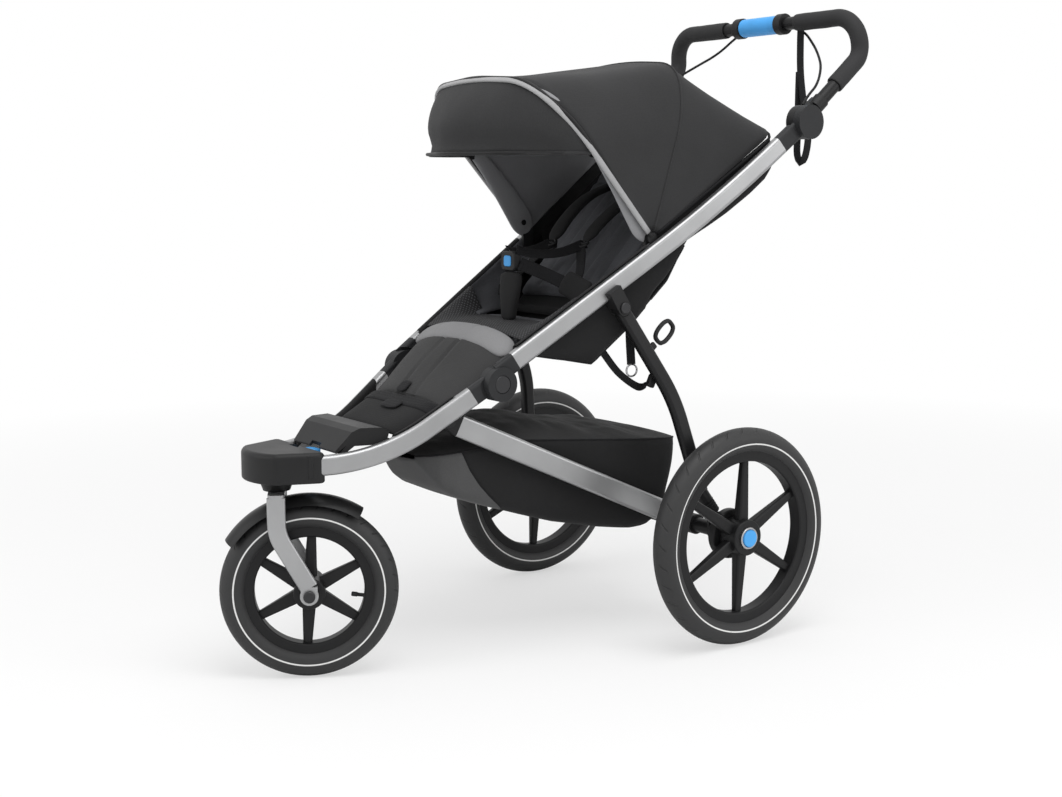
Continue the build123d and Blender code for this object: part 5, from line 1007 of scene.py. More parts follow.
# ---- canopy -------------------------------------------------------------------------------------
@dataclass
class Canopy:
    """Canopy cloth over three arches that fan about one hinge, with its visor, piping and lining."""

    outer: Look
    lining: Look
    sleeve: Look
    piping: Look
    trim: Look
    skirt: Look
    hinge: tuple[float, float] = (-112.0, 742.0)
    bow_angle: float = 131.0
    mid_angle: float = 74.0
    rear_angle: float = 36.0
    bow: Line = ((199.0, 14.0), (204.0, 266.0), (152.0, 368.0), (0.0, 381.0))
    mid: Line = ((200.0, 14.0), (207.0, 236.0), (158.0, 330.0), (0.0, 343.0))
    rear: Line = ((200.0, 14.0), (233.0, 316.0), (200.0, 344.0), (0.0, 346.0))
    visor_reach: float = 201.0
    visor_arch: Line = ((200.0, 6.0), (188.0, 60.0), (120.0, 150.0), (0.0, 190.0))
    count: int = 81
    panel_steps: int = 13
    visor_steps: int = 14
    lining_gap: float = 5.0

    def spot(self, x: float, reach: float, angle: float) -> Vector:
        """Return the point `reach` out from the hinge line at an angle, in metres."""
        turn = math.radians(angle)
        return mm(x, self.hinge[0] + reach * math.cos(turn), self.hinge[1] + reach * math.sin(turn))

    def arch(self, shape: Line, angle: float, inset: float = 0.0) -> Section:
        """Return an arch as even points from one side to the other, set in by some millimetres."""
        half = [(max(0.0, x - inset), r - inset * (0.0 if index == 0 else 0.8 * index / (len(shape) - 1)))
                for index, (x, r) in enumerate(shape)]
        both = half + [(-x, r) for x, r in half[-2::-1]]
        return bent_line([self.spot(x, r, angle) for x, r in both], 70 * MM, self.count)

    def panel(self, first: Section, second: Section, sag: float, seed: float) -> list[Section]:
        """Return the sections of one panel between two arches, sagging a little between them."""
        hinge_line = mm(0, *self.hinge)
        sections = []
        for step in range(self.panel_steps):
            share = step / (self.panel_steps - 1)
            section = []
            for a, b in zip(first, second):
                point = a.lerp(b, share)
                inward = hinge_line - point
                inward.x *= 0.6
                inward.normalize()
                free = 4 * share * (1 - share)
                drop = sag * free + Crumple.CANOPY.at(point, seed) * free
                section.append(point + inward * drop)
            sections.append(section)
        return sections

    def shell(self, inset: float, sag: float, seed: float) -> list[Section]:
        """Return the sections of the whole cloth from the bow to the rear arch."""
        arches = [self.arch(self.bow, self.bow_angle, inset), self.arch(self.mid, self.mid_angle, inset),
                  self.arch(self.rear, self.rear_angle, inset)]
        front = self.panel(arches[0], arches[1], sag, seed)
        back = self.panel(arches[1], arches[2], sag, seed + 3.1)
        return front + back[1:]

    def pleat(self, section: Section, depth: float) -> Section:
        """Return a lining section with gathers that fade out towards its crown."""
        pleated = []
        last = len(section) - 1
        for index, point in enumerate(section):
            side = abs(2 * index / last - 1)
            wave = math.sin(index * 0.9) * smoothstep((side - 0.25) / 0.5)
            out = point - mm(0, *self.hinge)
            pleated.append(point - out.normalized() * depth * (0.6 + 0.4 * wave))
        return pleated

    def cloth_blend(self, thing: bpy.types.Object) -> None:
        """Bake a piece's place into its mesh."""
        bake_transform(thing)

    def build_cloth(self) -> None:
        """Make the outer cloth, its lining, and the welts and zip along its arches."""
        sections = self.shell(0.0, 3.5 * MM, 1.0)
        skin = cloth(sections, "canopy_cloth", self.outer, None, "stretched", "canopy_bow", SHELL_CLOTH)
        self.cloth_blend(skin)
        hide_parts("canopy_skin")
        sections = [self.pleat(section, 2.0 * MM) for section in self.shell(self.lining_gap, 1.5 * MM, 2.0)]
        lining = cloth(sections, "canopy_lining", self.lining, None, "stretched", "canopy_bow", LINING_CLOTH)
        self.cloth_blend(lining)
        welt = piece(round_line(self.arch(self.mid, self.mid_angle, -1.0), 1.9 * MM, 8), "canopy_middle_welt",
                     self.outer, None)
        self.cloth_blend(welt)
        hem = self.arch(self.rear, self.rear_angle - 1.2, -0.5)
        piece(round_line(hem, 2.8 * MM, 8), "canopy_zip", self.trim, "upper_frame")

    def build_skirt(self) -> None:
        """Close the canopy's foot at each side, from its rear arch down inside the frame's tube."""
        for side, word in SIDES:
            sections = []
            for index in range(33):
                reach = lerp(2.0, 318.0, index / 32)
                share = max(0.0, (reach - 14.0) / 302.0)
                top = self.spot(side * lerp(199.0, 231.0, share), reach, self.rear_angle - 0.4)
                y = top.y / MM + 4.0 * share
                low = mm(side * (TUBE.x(y) - 12.5), y, TUBE.z(y) - 14.0)
                section = []
                for step in range(7):
                    point = top.lerp(low, step / 6)
                    puff = 3.0 * MM * math.sin(math.pi * step / 6)
                    section.append(point + Vector((side * (Crumple.SKIRT.at(point) - puff) * (step < 6), 0, 0)))
                sections.append(section)
            cloth(sections, f"canopy_skirt_{word}", self.skirt, "upper_frame", "hung", "upper_tubes",
                  SHELL_CLOTH)

    def build_piping(self) -> None:
        """Make the pale reflective piping along the bow."""
        line = self.arch(self.bow, self.bow_angle + 0.8, -1.5)
        out = [(point - mm(0, *self.hinge)).normalized() for point in line]
        bm = ribbon(line, out, [10.5 * MM] * len(line), 3.0 * MM, 3.0 * MM)
        piece(bm, "canopy_piping", self.piping, "canopy")

    def build_eyelet(self, side: int, word: str) -> None:
        """Make the eyelet of one sleeve: a flat ring with a sunk, closed middle."""
        bm = bmesh.new()
        bmesh.ops.create_circle(bm, cap_ends=False, radius=5.5 * MM, segments=24)
        made = bmesh.ops.extrude_edge_only(bm, edges=bm.edges)
        lip = [part for part in made["geom"] if isinstance(part, bmesh.types.BMVert)]
        bmesh.ops.scale(bm, vec=(0.6, 0.6, 1.0), verts=lip)
        bmesh.ops.translate(bm, vec=(0, 0, -1.5 * MM), verts=lip)
        inner = [edge for edge in bm.edges if all(vert in lip for vert in edge.verts)]
        bmesh.ops.contextual_create(bm, geom=inner)
        bmesh.ops.rotate(bm, verts=bm.verts, matrix=Matrix.Rotation(-side * math.pi / 2, 3, "Y"))
        bmesh.ops.translate(bm, vec=self.spot(side * 184.0, 24.0, self.bow_angle - 7), verts=bm.verts)
        thicken(piece(bm, f"bow_eyelet_{word}", self.trim, "canopy"), 1.0)

    def build_sleeves(self) -> None:
        """Make the padded sleeve inside each foot of the bow, with its eyelet."""
        for side, word in SIDES:
            inner = [(190.0, -6.0), (190.0, 60.0), (192.0, 150.0), (193.0, 250.0), (160.0, 345.0)]
            line = arc_points([self.spot(side * x, r, self.bow_angle - 8 + 8 * r / 345) for x, r in inner], 40)
            widths = [lerp(56.0, 24.0, smoothstep(index / 30)) * MM for index in range(40)]
            bm = ribbon(line, [Vector((-side, 0.0, 0.0))] * 40, widths, 3.0 * MM, 7.0 * MM, round_ends=True)
            sleeve = piece(bm, f"bow_sleeve_{word}", self.sleeve, "canopy")
            soften(sleeve)
            self.build_eyelet(side, word)

    def visor_sections(self, inset: float) -> list[Section]:
        """Return the visor's sections from the bow down to its flared brim."""
        pivot = self.spot(0, self.visor_reach, self.bow_angle)
        forward = Vector((0.0, -1.0, 0.0))
        half = [Vector((x - inset, 0.0, 0.0)) * MM + forward * max(0.0, r - inset) * MM + pivot
                for x, r in self.visor_arch]
        both = half + [Vector((-point.x, point.y, point.z)) for point in half[-2::-1]]
        brim = bent_line(both, 50 * MM, self.count)
        upper_bow = ((200.6 - inset, self.visor_reach + 8),
                     *((x - inset, r - inset * 0.8) for x, r in self.bow[1:]))
        top = self.arch(upper_bow, self.bow_angle)
        sections = []
        for step in range(self.visor_steps + 1):
            share = step / self.visor_steps
            section = []
            for index, (a, b) in enumerate(zip(top, brim)):
                side = abs(2 * index / (self.count - 1) - 1)
                free = 1 - smoothstep((side - 0.55) / 0.45)
                bulge = 15 * MM * math.sin(math.pi * share) * free
                flare = -9 * MM * ridge(share - 0.86, 0.12) * free
                point = a.lerp(b, share)
                out = (point - self.spot(0, 40, self.bow_angle))
                out.x *= 0.5
                section.append(point + out.normalized() * (bulge + flare + Crumple.VISOR.at(point) * free))
            sections.append(section)
        return sections

    def build_visor(self) -> None:
        """Make the visor's cloth, its lining and its bound edge."""
        visor = cloth(self.visor_sections(0.0), "visor_cloth", self.outer, None, "stretched",
                      "visor_wire", SHELL_CLOTH)
        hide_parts("visor_skin")
        lining = cloth(self.visor_sections(self.lining_gap), "visor_lining", self.lining, None,
                       "stretched", "visor_wire", LINING_CLOTH)
        for thing in (visor, lining):
            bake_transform(thing)
        brim = self.visor_sections(-0.5)[-1]
        piece(round_line(brim, 3.6 * MM, 10), "visor_brim", self.outer, "visor")

    def build(self) -> None:
        """Build the canopy."""
        self.build_cloth()
        self.build_skirt()
        self.build_piping()
        self.build_sleeves()
        self.build_visor()


# ---- seat ---------------------------------------------------------------------------------------
@dataclass
class Seat:
    """Seat tub, cushions, leg panel and their sewn seams, between the tubes of the frame."""

    tub_cloth: Look
    liner: Look
    panel: Look
    band: Look
    net: Look
    webbing: Look
    coated: Look
    under: Line = (
        (-372, 547), (-351, 543), (-228, 519), (-152, 583), (-117, 619), (-74, 663), (-53, 701), (-36, 727))
    leg_toe: float = 15.47
    hem: Line = ((-372, 549), (-300, 592), (-200, 655), (-110, 713), (-36, 762))
    channel: float = 56.0
    net_ends: float = -262.0
    seat_flat: float = 0.5855
    tube_tall: float = 22.0
    front_top: Line = (
        (-620, 409.8), (-600, 417.8), (-580, 427.5), (-560, 439), (-540, 452), (-520, 465.2), (-500, 478.3),
        (-480, 491.4))
    wing_x: Line = ((-281, 112), (-192, 142), (-176, 169), (-112, 172))
    wing_z: Line = ((-281, 590), (-200, 598), (-176, 628), (-112, 690))
    floor_bends_from: Point = (0.0, -172.0, 572.0)
    floor_bends_to: Point = (0.0, -74.0, 663.0)
    vent_from: float = -118.0
    vent_rise: float = 12.0
    vent_rungs: int = 22
    fall: Line = (
        (-64, 8), (-40, 11), (0, 17), (50, 24), (100, 27), (134, 25), (146, 16), (152, 4))

    def build_tub(self) -> None:
        """Make the side walls and the floor of the cloth tub."""
        stations = [lerp(-371.0, -37.0, index / 40) for index in range(41)]
        for side, word in SIDES:
            sections = []
            for y in stations:
                x = TUBE.x(y) - TUBE.half
                low, high = value_at(self.under, y), value_at(self.hem, y)
                low += self.vent_rise * smoothstep((y - self.vent_from) / 8.0)
                tall = max(high - low, 4.0)
                section = []
                for step in range(13):
                    share = step / 12
                    belly = 3.0 * math.sin(math.pi * share)
                    roll = 10.0 * max(0.0, share - 0.8) ** 2 / 0.04
                    z = high - tall * share
                    section.append(mm(side * (x + belly * 0.6 - roll), y, z) + Vector((
                        side * Crumple.WALL.at(mm(x, y, z)), 0, 0)))
                sections.append(section)
            soften(cloth(sections, f"tub_wall_{word}", self.tub_cloth, "upper_frame", "stretched",
                         "upper_tubes", CANVAS))
            edge = [section[-1] for section in sections]
            self.build_vent(edge, side, word)
            piece(round_line(edge, 2.2 * MM, 8), f"tub_edge_{word}", self.webbing, "upper_frame")
        sections = []
        for index in range(41):
            y = lerp(-371.0, -38.0, index / 40)
            reach = TUBE.x(y) - TUBE.half - 8.0
            z = value_at(self.under, y)
            sections.append([mm(reach * (2 * step / 16 - 1), y, z + 3 - 6 * (1 - (2 * step / 16 - 1) ** 2))
                             for step in range(17)])
        floor = cloth(sections, "tub_floor", self.tub_cloth, None, "hung", "upper_tubes", CANVAS)
        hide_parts("seat_shell")
        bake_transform(floor)

    def build_vent(self, edge: Sequence[Vector], side: int, word: str) -> None:
        """Make the open ladder mesh between a wall's rear edge and the hem beyond it.

        Args:
            edge: The wall's lower edge.
            side: 1 on the left, -1 on the right.
            word: Its name's last word.
        """
        inner = evenly([point for point in edge if self.vent_from + 4 < point.y / MM < -45], self.vent_rungs)
        outer = [mm(point.x / MM, point.y / MM + 6.0, value_at(self.under, point.y / MM + 6.0))
                 for point in inner]
        rungs = [round_line([a, a.lerp(b, 0.5), b], 0.9 * MM, 6, Vector((side, 0, 0)))
                 for a, b in zip(inner, outer)]
        hem = round_line(outer, 1.8 * MM, 8, Vector((side, 0, 0)))
        piece(combine([*rungs, hem]), f"side_vent_{word}", self.webbing, "upper_frame")

    def build_falls(self) -> None:
        """Make the cloth that hangs inside each upper tube behind the seat."""
        for side, word in SIDES:
            sections = []
            for index in range(37):
                y = lerp(-64.0, 152.0, index / 36)
                x, z = TUBE.x(y) - TUBE.half - 1.5, TUBE.z(y)
                low = z - 23.5 - value_at(self.fall, y)
                line = [mm(side * x, y, z + 4), mm(side * (x - 1), y, low), mm(side * (x - 34), y, low + 2)]
                section = bent_line(line, 12 * MM, 15)
                sections.append([point + Vector((side, 0, 0.7)) * Crumple.FALL.at(point) * (step > 1)
                                 for step, point in enumerate(section)])
            cloth(sections, f"side_fall_{word}", self.tub_cloth, "upper_frame", "hung", "upper_tubes",
                  BAG_CLOTH)

    def build_edges(self) -> None:
        """Make the cloth edges that wrap each tube's inner side, above and below the fold hubs."""
        for side, word in SIDES:
            for part, body, tubes, first, final in (("seat", "upper_frame", "upper_tubes", -388.0, -128.0),
                                                    ("leg", "front_frame", "front_tubes", -601.0, -500.0)):
                sections = []
                for index in range(31):
                    y = lerp(first, final, index / 30)
                    if part == "seat":
                        x, top = TUBE.x(y) - TUBE.half, TUBE.straight_z(y) + self.tube_tall
                    else:
                        x, top = 130.6 + (y + 500.0) * 0.2767, value_at(self.front_top, y)
                    outside, inside = mm(side * (x + 10.5), y, top + 1.4), mm(side * (x - 1.4), y, top + 0.6)
                    sections.append(bent_line([outside, inside, mm(side * (x - 1.6), y, top - 26)], 8 * MM, 13))
                cloth(sections, f"{part}_edge_{word}", self.tub_cloth, body, "stretched", tubes,
                      HEM_CLOTH)

    def build_wings(self) -> None:
        """Make the lining that falls from each tube to the seat, beside the hips."""
        for side, word in SIDES:
            sections = []
            for index in range(31):
                y = lerp(-281.0, -112.0, index / 30)
                x, z = TUBE.x(y) - TUBE.half - 2.5, TUBE.straight_z(y)
                inner_x, inner_z = value_at(self.wing_x, y), value_at(self.wing_z, y)
                line = [mm(side * x, y, z + 19), mm(side * (x - 6), y, z - 2), mm(side * inner_x, y, inner_z)]
                section = bent_line(line, 14 * MM, 15)
                sections.append([point + Vector((side, 0, 0.5)) * Crumple.WING.at(point) * (0 < step < 14)
                                 for step, point in enumerate(section)])
            cloth(sections, f"hip_wing_{word}", self.liner, "upper_frame", "stretched", "upper_tubes",
                  SHELL_CLOTH)

    def channels(self, point: Vector, normal: Vector) -> Vector:
        """Return the move by which the four channels along a cushion draw a point in."""
        move = Vector((0.0, 0.0, 0.0))
        for row in (-1.5, -0.5, 0.5, 1.5):
            move -= normal * ridge(point.x - row * self.channel * MM, 3.2 * MM) * 4.5 * MM
        return move

    def sew_seat(self, point: Vector, normal: Vector) -> Vector:
        """Draw in the channels that run along the seat cushion, and keep its front edge under the net."""
        move = Vector((0.0, 0.0, 0.0))
        if normal.z > 0.35:
            move = self.channels(point, normal) + normal * Crumple.SEAT.at(point)
        if point.y < self.net_ends * MM and point.z + move.z > self.seat_flat:
            move.z = self.seat_flat - point.z
        return move

    def sew_back(self, point: Vector, normal: Vector) -> Vector:
        """Draw in the back cushion's channels and the seam across at the shoulders."""
        move = Vector((0.0, 0.0, 0.0))
        if normal.z > 0.3 and normal.y < 0:
            move = self.channels(point, normal)
            move -= normal * ridge(point.z - 0.842, 3.0 * MM) * 4.0 * MM
            move += normal * Crumple.BACK.at(point)
        return move

    def build_cushions(self) -> None:
        """Make the seat and back cushions."""
        Stuffing("seat_pad", "seat_cushion", cap=0.008).build(self.liner, "upper_frame", self.sew_seat)
        Stuffing("back_pad", "back_cushion", cap=0.009).build(self.liner, "backrest", self.sew_back)
        board = Stuffing("back_board", "back_support", start_in=0.0, voxel=0.0025)
        board.finish(board.remeshed(), self.tub_cloth, "backrest")

    def build_net(self) -> None:
        """Make the net at the front of the seat, which climbs to the tube at each side."""
        sections = []
        for index in range(21):
            y = lerp(-371.0, self.net_ends, index / 20)
            reach = TUBE.x(y) - TUBE.half - 2.0
            low, top = 588.5 - 0.0026 * (y + 300) ** 2 * (y < -300), TUBE.straight_z(y) + 21.0
            section = []
            for step in range(41):
                place = 2 * step / 40 - 1
                climb = smoothstep((abs(place) - 0.62) / 0.38) ** 1.3
                section.append(mm(reach * place, y, lerp(low, top, climb)))
            sections.append(section)
        cloth(sections, "seat_net", self.net, "upper_frame", "stretched", "upper_tubes", SHELL_CLOTH)

    def leg_point(self, along: float) -> tuple[float, float]:
        """Return (y, z) on the leg panel's line, from the knee down, for a distance along it in millimetres."""
        corners = ((-405.0, 563.0), (-510.0, 467.0), (-604.0, 424.0))
        left = along
        for (y0, z0), (y1, z1) in zip(corners, corners[1:]):
            length = math.hypot(y1 - y0, z1 - z0)
            if left <= length:
                return lerp(y0, y1, left / length), lerp(z0, z1, left / length)
            left -= length
        return corners[-1]

    @staticmethod
    def leg_up(ahead: Vector) -> Vector:
        """Return the way that the leg panel's face looks, where its line runs that way."""
        up = Vector((1.0, 0.0, 0.0)).cross(ahead)
        return up if up.z > 0 else -up

    def slab(self, start: float, end: float, edge_in: float, thick: float, crown: float, count: int,
             lift: float = 0.0, dips: tuple[float, float] = (11.0, 11.0),
             bend: float = 6.0) -> bmesh.types.BMesh:
        """Return a padded slab that follows the leg panel's line between two distances along it."""
        bm = bmesh.new()
        sections = []
        across = 25
        for index in range(count):
            share = index / (count - 1)
            y, z = self.leg_point(lerp(start, end, share))
            y_next, z_next = self.leg_point(lerp(start, end, share) + 1.0)
            up = self.leg_up(Vector((0.0, y_next - y, z_next - z)).normalized())
            half = TUBE.hub_x + (y - TUBE.hub_y) * math.tan(math.radians(self.leg_toe)) - TUBE.half - edge_in
            ends = math.sqrt(max(0.02, 1 - abs(2 * share - 1) ** 10))
            top, low = [], []
            for step in range(across):
                place = 2 * step / (across - 1) - 1
                round_off = math.sqrt(max(0.0, 1 - abs(place) ** 12)) * ends
                fall = lerp(*dips, share) * abs(place) ** bend
                rise = lift + round_off * (thick / 2 + crown * (1 - place ** 4)) - fall
                top.append((mm(half * place, y, z) + up * rise * MM))
                low.append((mm(half * place, y, z) + up * (lift - round_off * thick / 2 - fall) * MM))
            sections.append(top + low[-2:0:-1])
        loft(bm, sections, closed=True, caps=True)
        return bm

    def build_leg_panel(self) -> None:
        """Make the padded leg panel, the dark strip with its bare tab, and the lower cloth."""
        bm = self.slab(2.0, 146.0, 2.0, 5.0, 5.5, 60, dips=(25.0, 11.0), bend=2.6)
        pad = piece(bm, "leg_cushion", self.panel, "front_frame")
        fine = pad.modifiers.new("fine", "SUBSURF")
        fine.subdivision_type = "SIMPLE"
        fine.levels = fine.render_levels = 1
        Stuffing("calf_rest", "leg_cushion").bake(pad)

        def sew(point: Vector, normal: Vector) -> Vector:
            """Draw in the two seams of the leg cushion."""
            if normal.z < 0.2:
                return Vector((0.0, 0.0, 0.0))
            draw = sum(ridge(point.x - seam, 2.4 * MM) for seam in (-0.0265, 0.0245)) * 4.2 * MM
            return normal * (Crumple.LEG.at(point) - draw)

        reshape(pad, sew)
        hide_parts("calf_rest")
        lower = piece(self.slab(143.0, 244.0, 1.0, 4.0, 0.6, 24, -1.0), "leg_lower_cloth", self.coated,
                      "front_frame")
        soften(lower)
        strip = piece(self.slab(147.0, 176.0, 0.5, 3.0, 0.8, 8, 2.2), "leg_strip", self.webbing, "front_frame")
        soften(strip)
        for name, x, start, end, half, lift in (
                ("leg_tab", -14.0, 118.0, 146.0, 15.0, 9.0), ("leg_badge", 8.0, 168.0, 194.0, 27.0, 5.0)):
            y0, z0 = self.leg_point(start)
            y1, z1 = self.leg_point(end)
            up = self.leg_up((mm(0, y1, z1) - mm(0, y0, z0)).normalized())
            line = [mm(x, y0, z0).lerp(mm(x, y1, z1), step / 7) + up * lift * MM for step in range(8)]
            strip = ribbon(line, [up] * 8, [2 * half * MM] * 8, 3.0 * MM, 1.0 * MM, True)
            tab = piece(strip, name, self.webbing, "front_frame")
            soften(tab)

    def build_band(self) -> None:
        """Make the pale band over the knee edge, with its two seams."""
        bm = bmesh.new()
        sections = []
        outline = ((-366.0, 585.0), (-376.0, 589.5), (-392.0, 586.0), (-406.0, 573.0), (-413.0, 562.0),
                   (-405.0, 556.0), (-392.0, 568.0), (-376.0, 575.0))
        across, reach = 61, 151.0
        middle_y = sum(y for y, _ in outline) / len(outline)
        middle_z = sum(z for _, z in outline) / len(outline)
        for index in range(across):
            place = 2 * index / (across - 1) - 1
            ends = math.sqrt(max(0.05, 1 - abs(place) ** 14))
            dip = 3.0 * (1 - place ** 2)
            arch = 26.0 * abs(place) ** 2.6
            seam = sum(ridge(place * reach - x, 2.2) for x in (-66.0, 40.0)) * 2.2
            sections.append([mm(place * reach, lerp(middle_y, y, ends * (1 - 0.02 * seam)) - dip,
                                lerp(middle_z, z, ends * (1 - 0.06 * seam)) - arch) for y, z in outline])
        loft(bm, sections, closed=True, caps=True)
        band = piece(bm, "knee_band", self.band, "front_frame")
        soften(band, 2)
        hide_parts("knee_roll")

    def build(self) -> None:
        """Build the seat."""
        self.build_tub()
        self.build_falls()
        self.build_edges()
        self.build_wings()
        self.build_cushions()
        self.build_net()
        self.build_leg_panel()
        self.build_band()


@dataclass
class Harness:
    """Five-point harness: padded shoulder straps, webbing, sliders, hip pads and crotch pad."""

    webbing: Look
    pad_cloth: Look
    crotch_cloth: Look
    plastic: Look

    def build_shoulders(self) -> None:
        """Make both padded shoulder straps with their sliders."""
        anchor_y, anchor_z = 33.0, 844.0
        routes = {"left": ((66, anchor_y, anchor_z), (65, -50, 816), (58, -112, 773), (50, -152, 731)),
                  "right": ((-66, anchor_y, anchor_z), (-56, -60, 814), (-42, -122, 775), (-30, -168, 731))}
        for word, route in routes.items():
            pad = strap(route, (0, -0.5, 0.86), 36, 7, f"shoulder_pad_{word}", self.pad_cloth, "backrest",
                        crown=6, count=40, round_ends=True)
            soften(pad)
            if word == "left":
                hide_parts("shoulder_pads")
            self.slider(mm(*route[-1]) + mm(0, -4, -3), f"strap_slider_{word}")

    def slider(self, spot: Vector, name: str) -> None:
        """Make one slider: a rounded frame with a middle bar."""
        line = [Vector((math.cos(turn) * 15, math.sin(turn) * 9, 0)) * MM
                for turn in [2 * math.pi * step / 24 for step in range(25)]]
        bar = [Vector((-14, 0, 0)) * MM, Vector((0, 0, 0.5)) * MM, Vector((14, 0, 0)) * MM]
        bm = combine([round_line(line, 2.2 * MM, 8), round_line(bar, 2.0 * MM, 8)])
        bmesh.ops.rotate(bm, verts=bm.verts, matrix=Matrix.Rotation(math.radians(38), 3, "X"))
        bmesh.ops.translate(bm, verts=bm.verts, vec=spot)
        piece(bm, name, self.plastic, "backrest")

    def build_webs(self) -> None:
        """Make the straps from the sliders to the buckle, and the waist straps."""
        for word, route in {
                "left": ((50, -152, 728), (42, -200, 713), (28, -250, 711), (14, -281, 719)),
                "right": ((-30, -168, 728), (-26, -210, 716), (-18, -255, 714), (-12, -281, 719))}.items():
            web = strap(route, (0.55, -0.3, 0.78), 24, 2.2, f"shoulder_web_{word}", self.webbing, None)
            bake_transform(web)
            if word == "left":
                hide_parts("harness_webbing")
        for side, word in SIDES:
            waist = mirrored(side, (24, -281, 694), (62, -240, 671), (112, -212, 646), (150, -204, 634),
                             (181, -203, 628))
            strap(waist, (0, -0.9, 0.42), 24, 2.2, f"waist_web_{word}", self.webbing, "upper_frame")
            hip = strap(mirrored(side, (84, -228, 664), (110, -216, 650), (138, -210, 640)), (0, -0.9, 0.42),
                        46, 8, f"hip_pad_{word}", self.pad_cloth, "upper_frame", crown=5, count=24,
                        round_ends=True)
            soften(hip)
            route = mirrored(side, (46 if side > 0 else 28, -158, 726), (70, -175, 700), (92, -196, 672),
                             (102, -214, 652))
            drop = strap(route, (0, -0.8, 0.6), 22, 2.2, f"hip_web_{word}", self.webbing, None)
            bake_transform(drop)

    def build_crotch(self) -> None:
        """Make the crotch pad, which holds up the buckle."""
        points = [mm(0, y, z) for y, z in (
            (-290.5, 586.0), (-289.5, 606.0), (-286.5, 640.0), (-284.0, 665.0), (-282.5, 679.0))]
        line = arc_points(points, 32)
        widths = [lerp(36.0, 60.0, smoothstep(index / 26)) * MM for index in range(32)]
        bm = ribbon(line, [Vector((0, -1, 0.05))] * 32, widths, 11 * MM, 7 * MM, round_ends=True)
        pad = piece(bm, "crotch_cushion", self.crotch_cloth, "upper_frame")
        soften(pad)
        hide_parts("crotch_pad")

    def build(self) -> None:
        """Build the harness."""
        self.build_shoulders()
        self.build_webs()
        self.build_crotch()


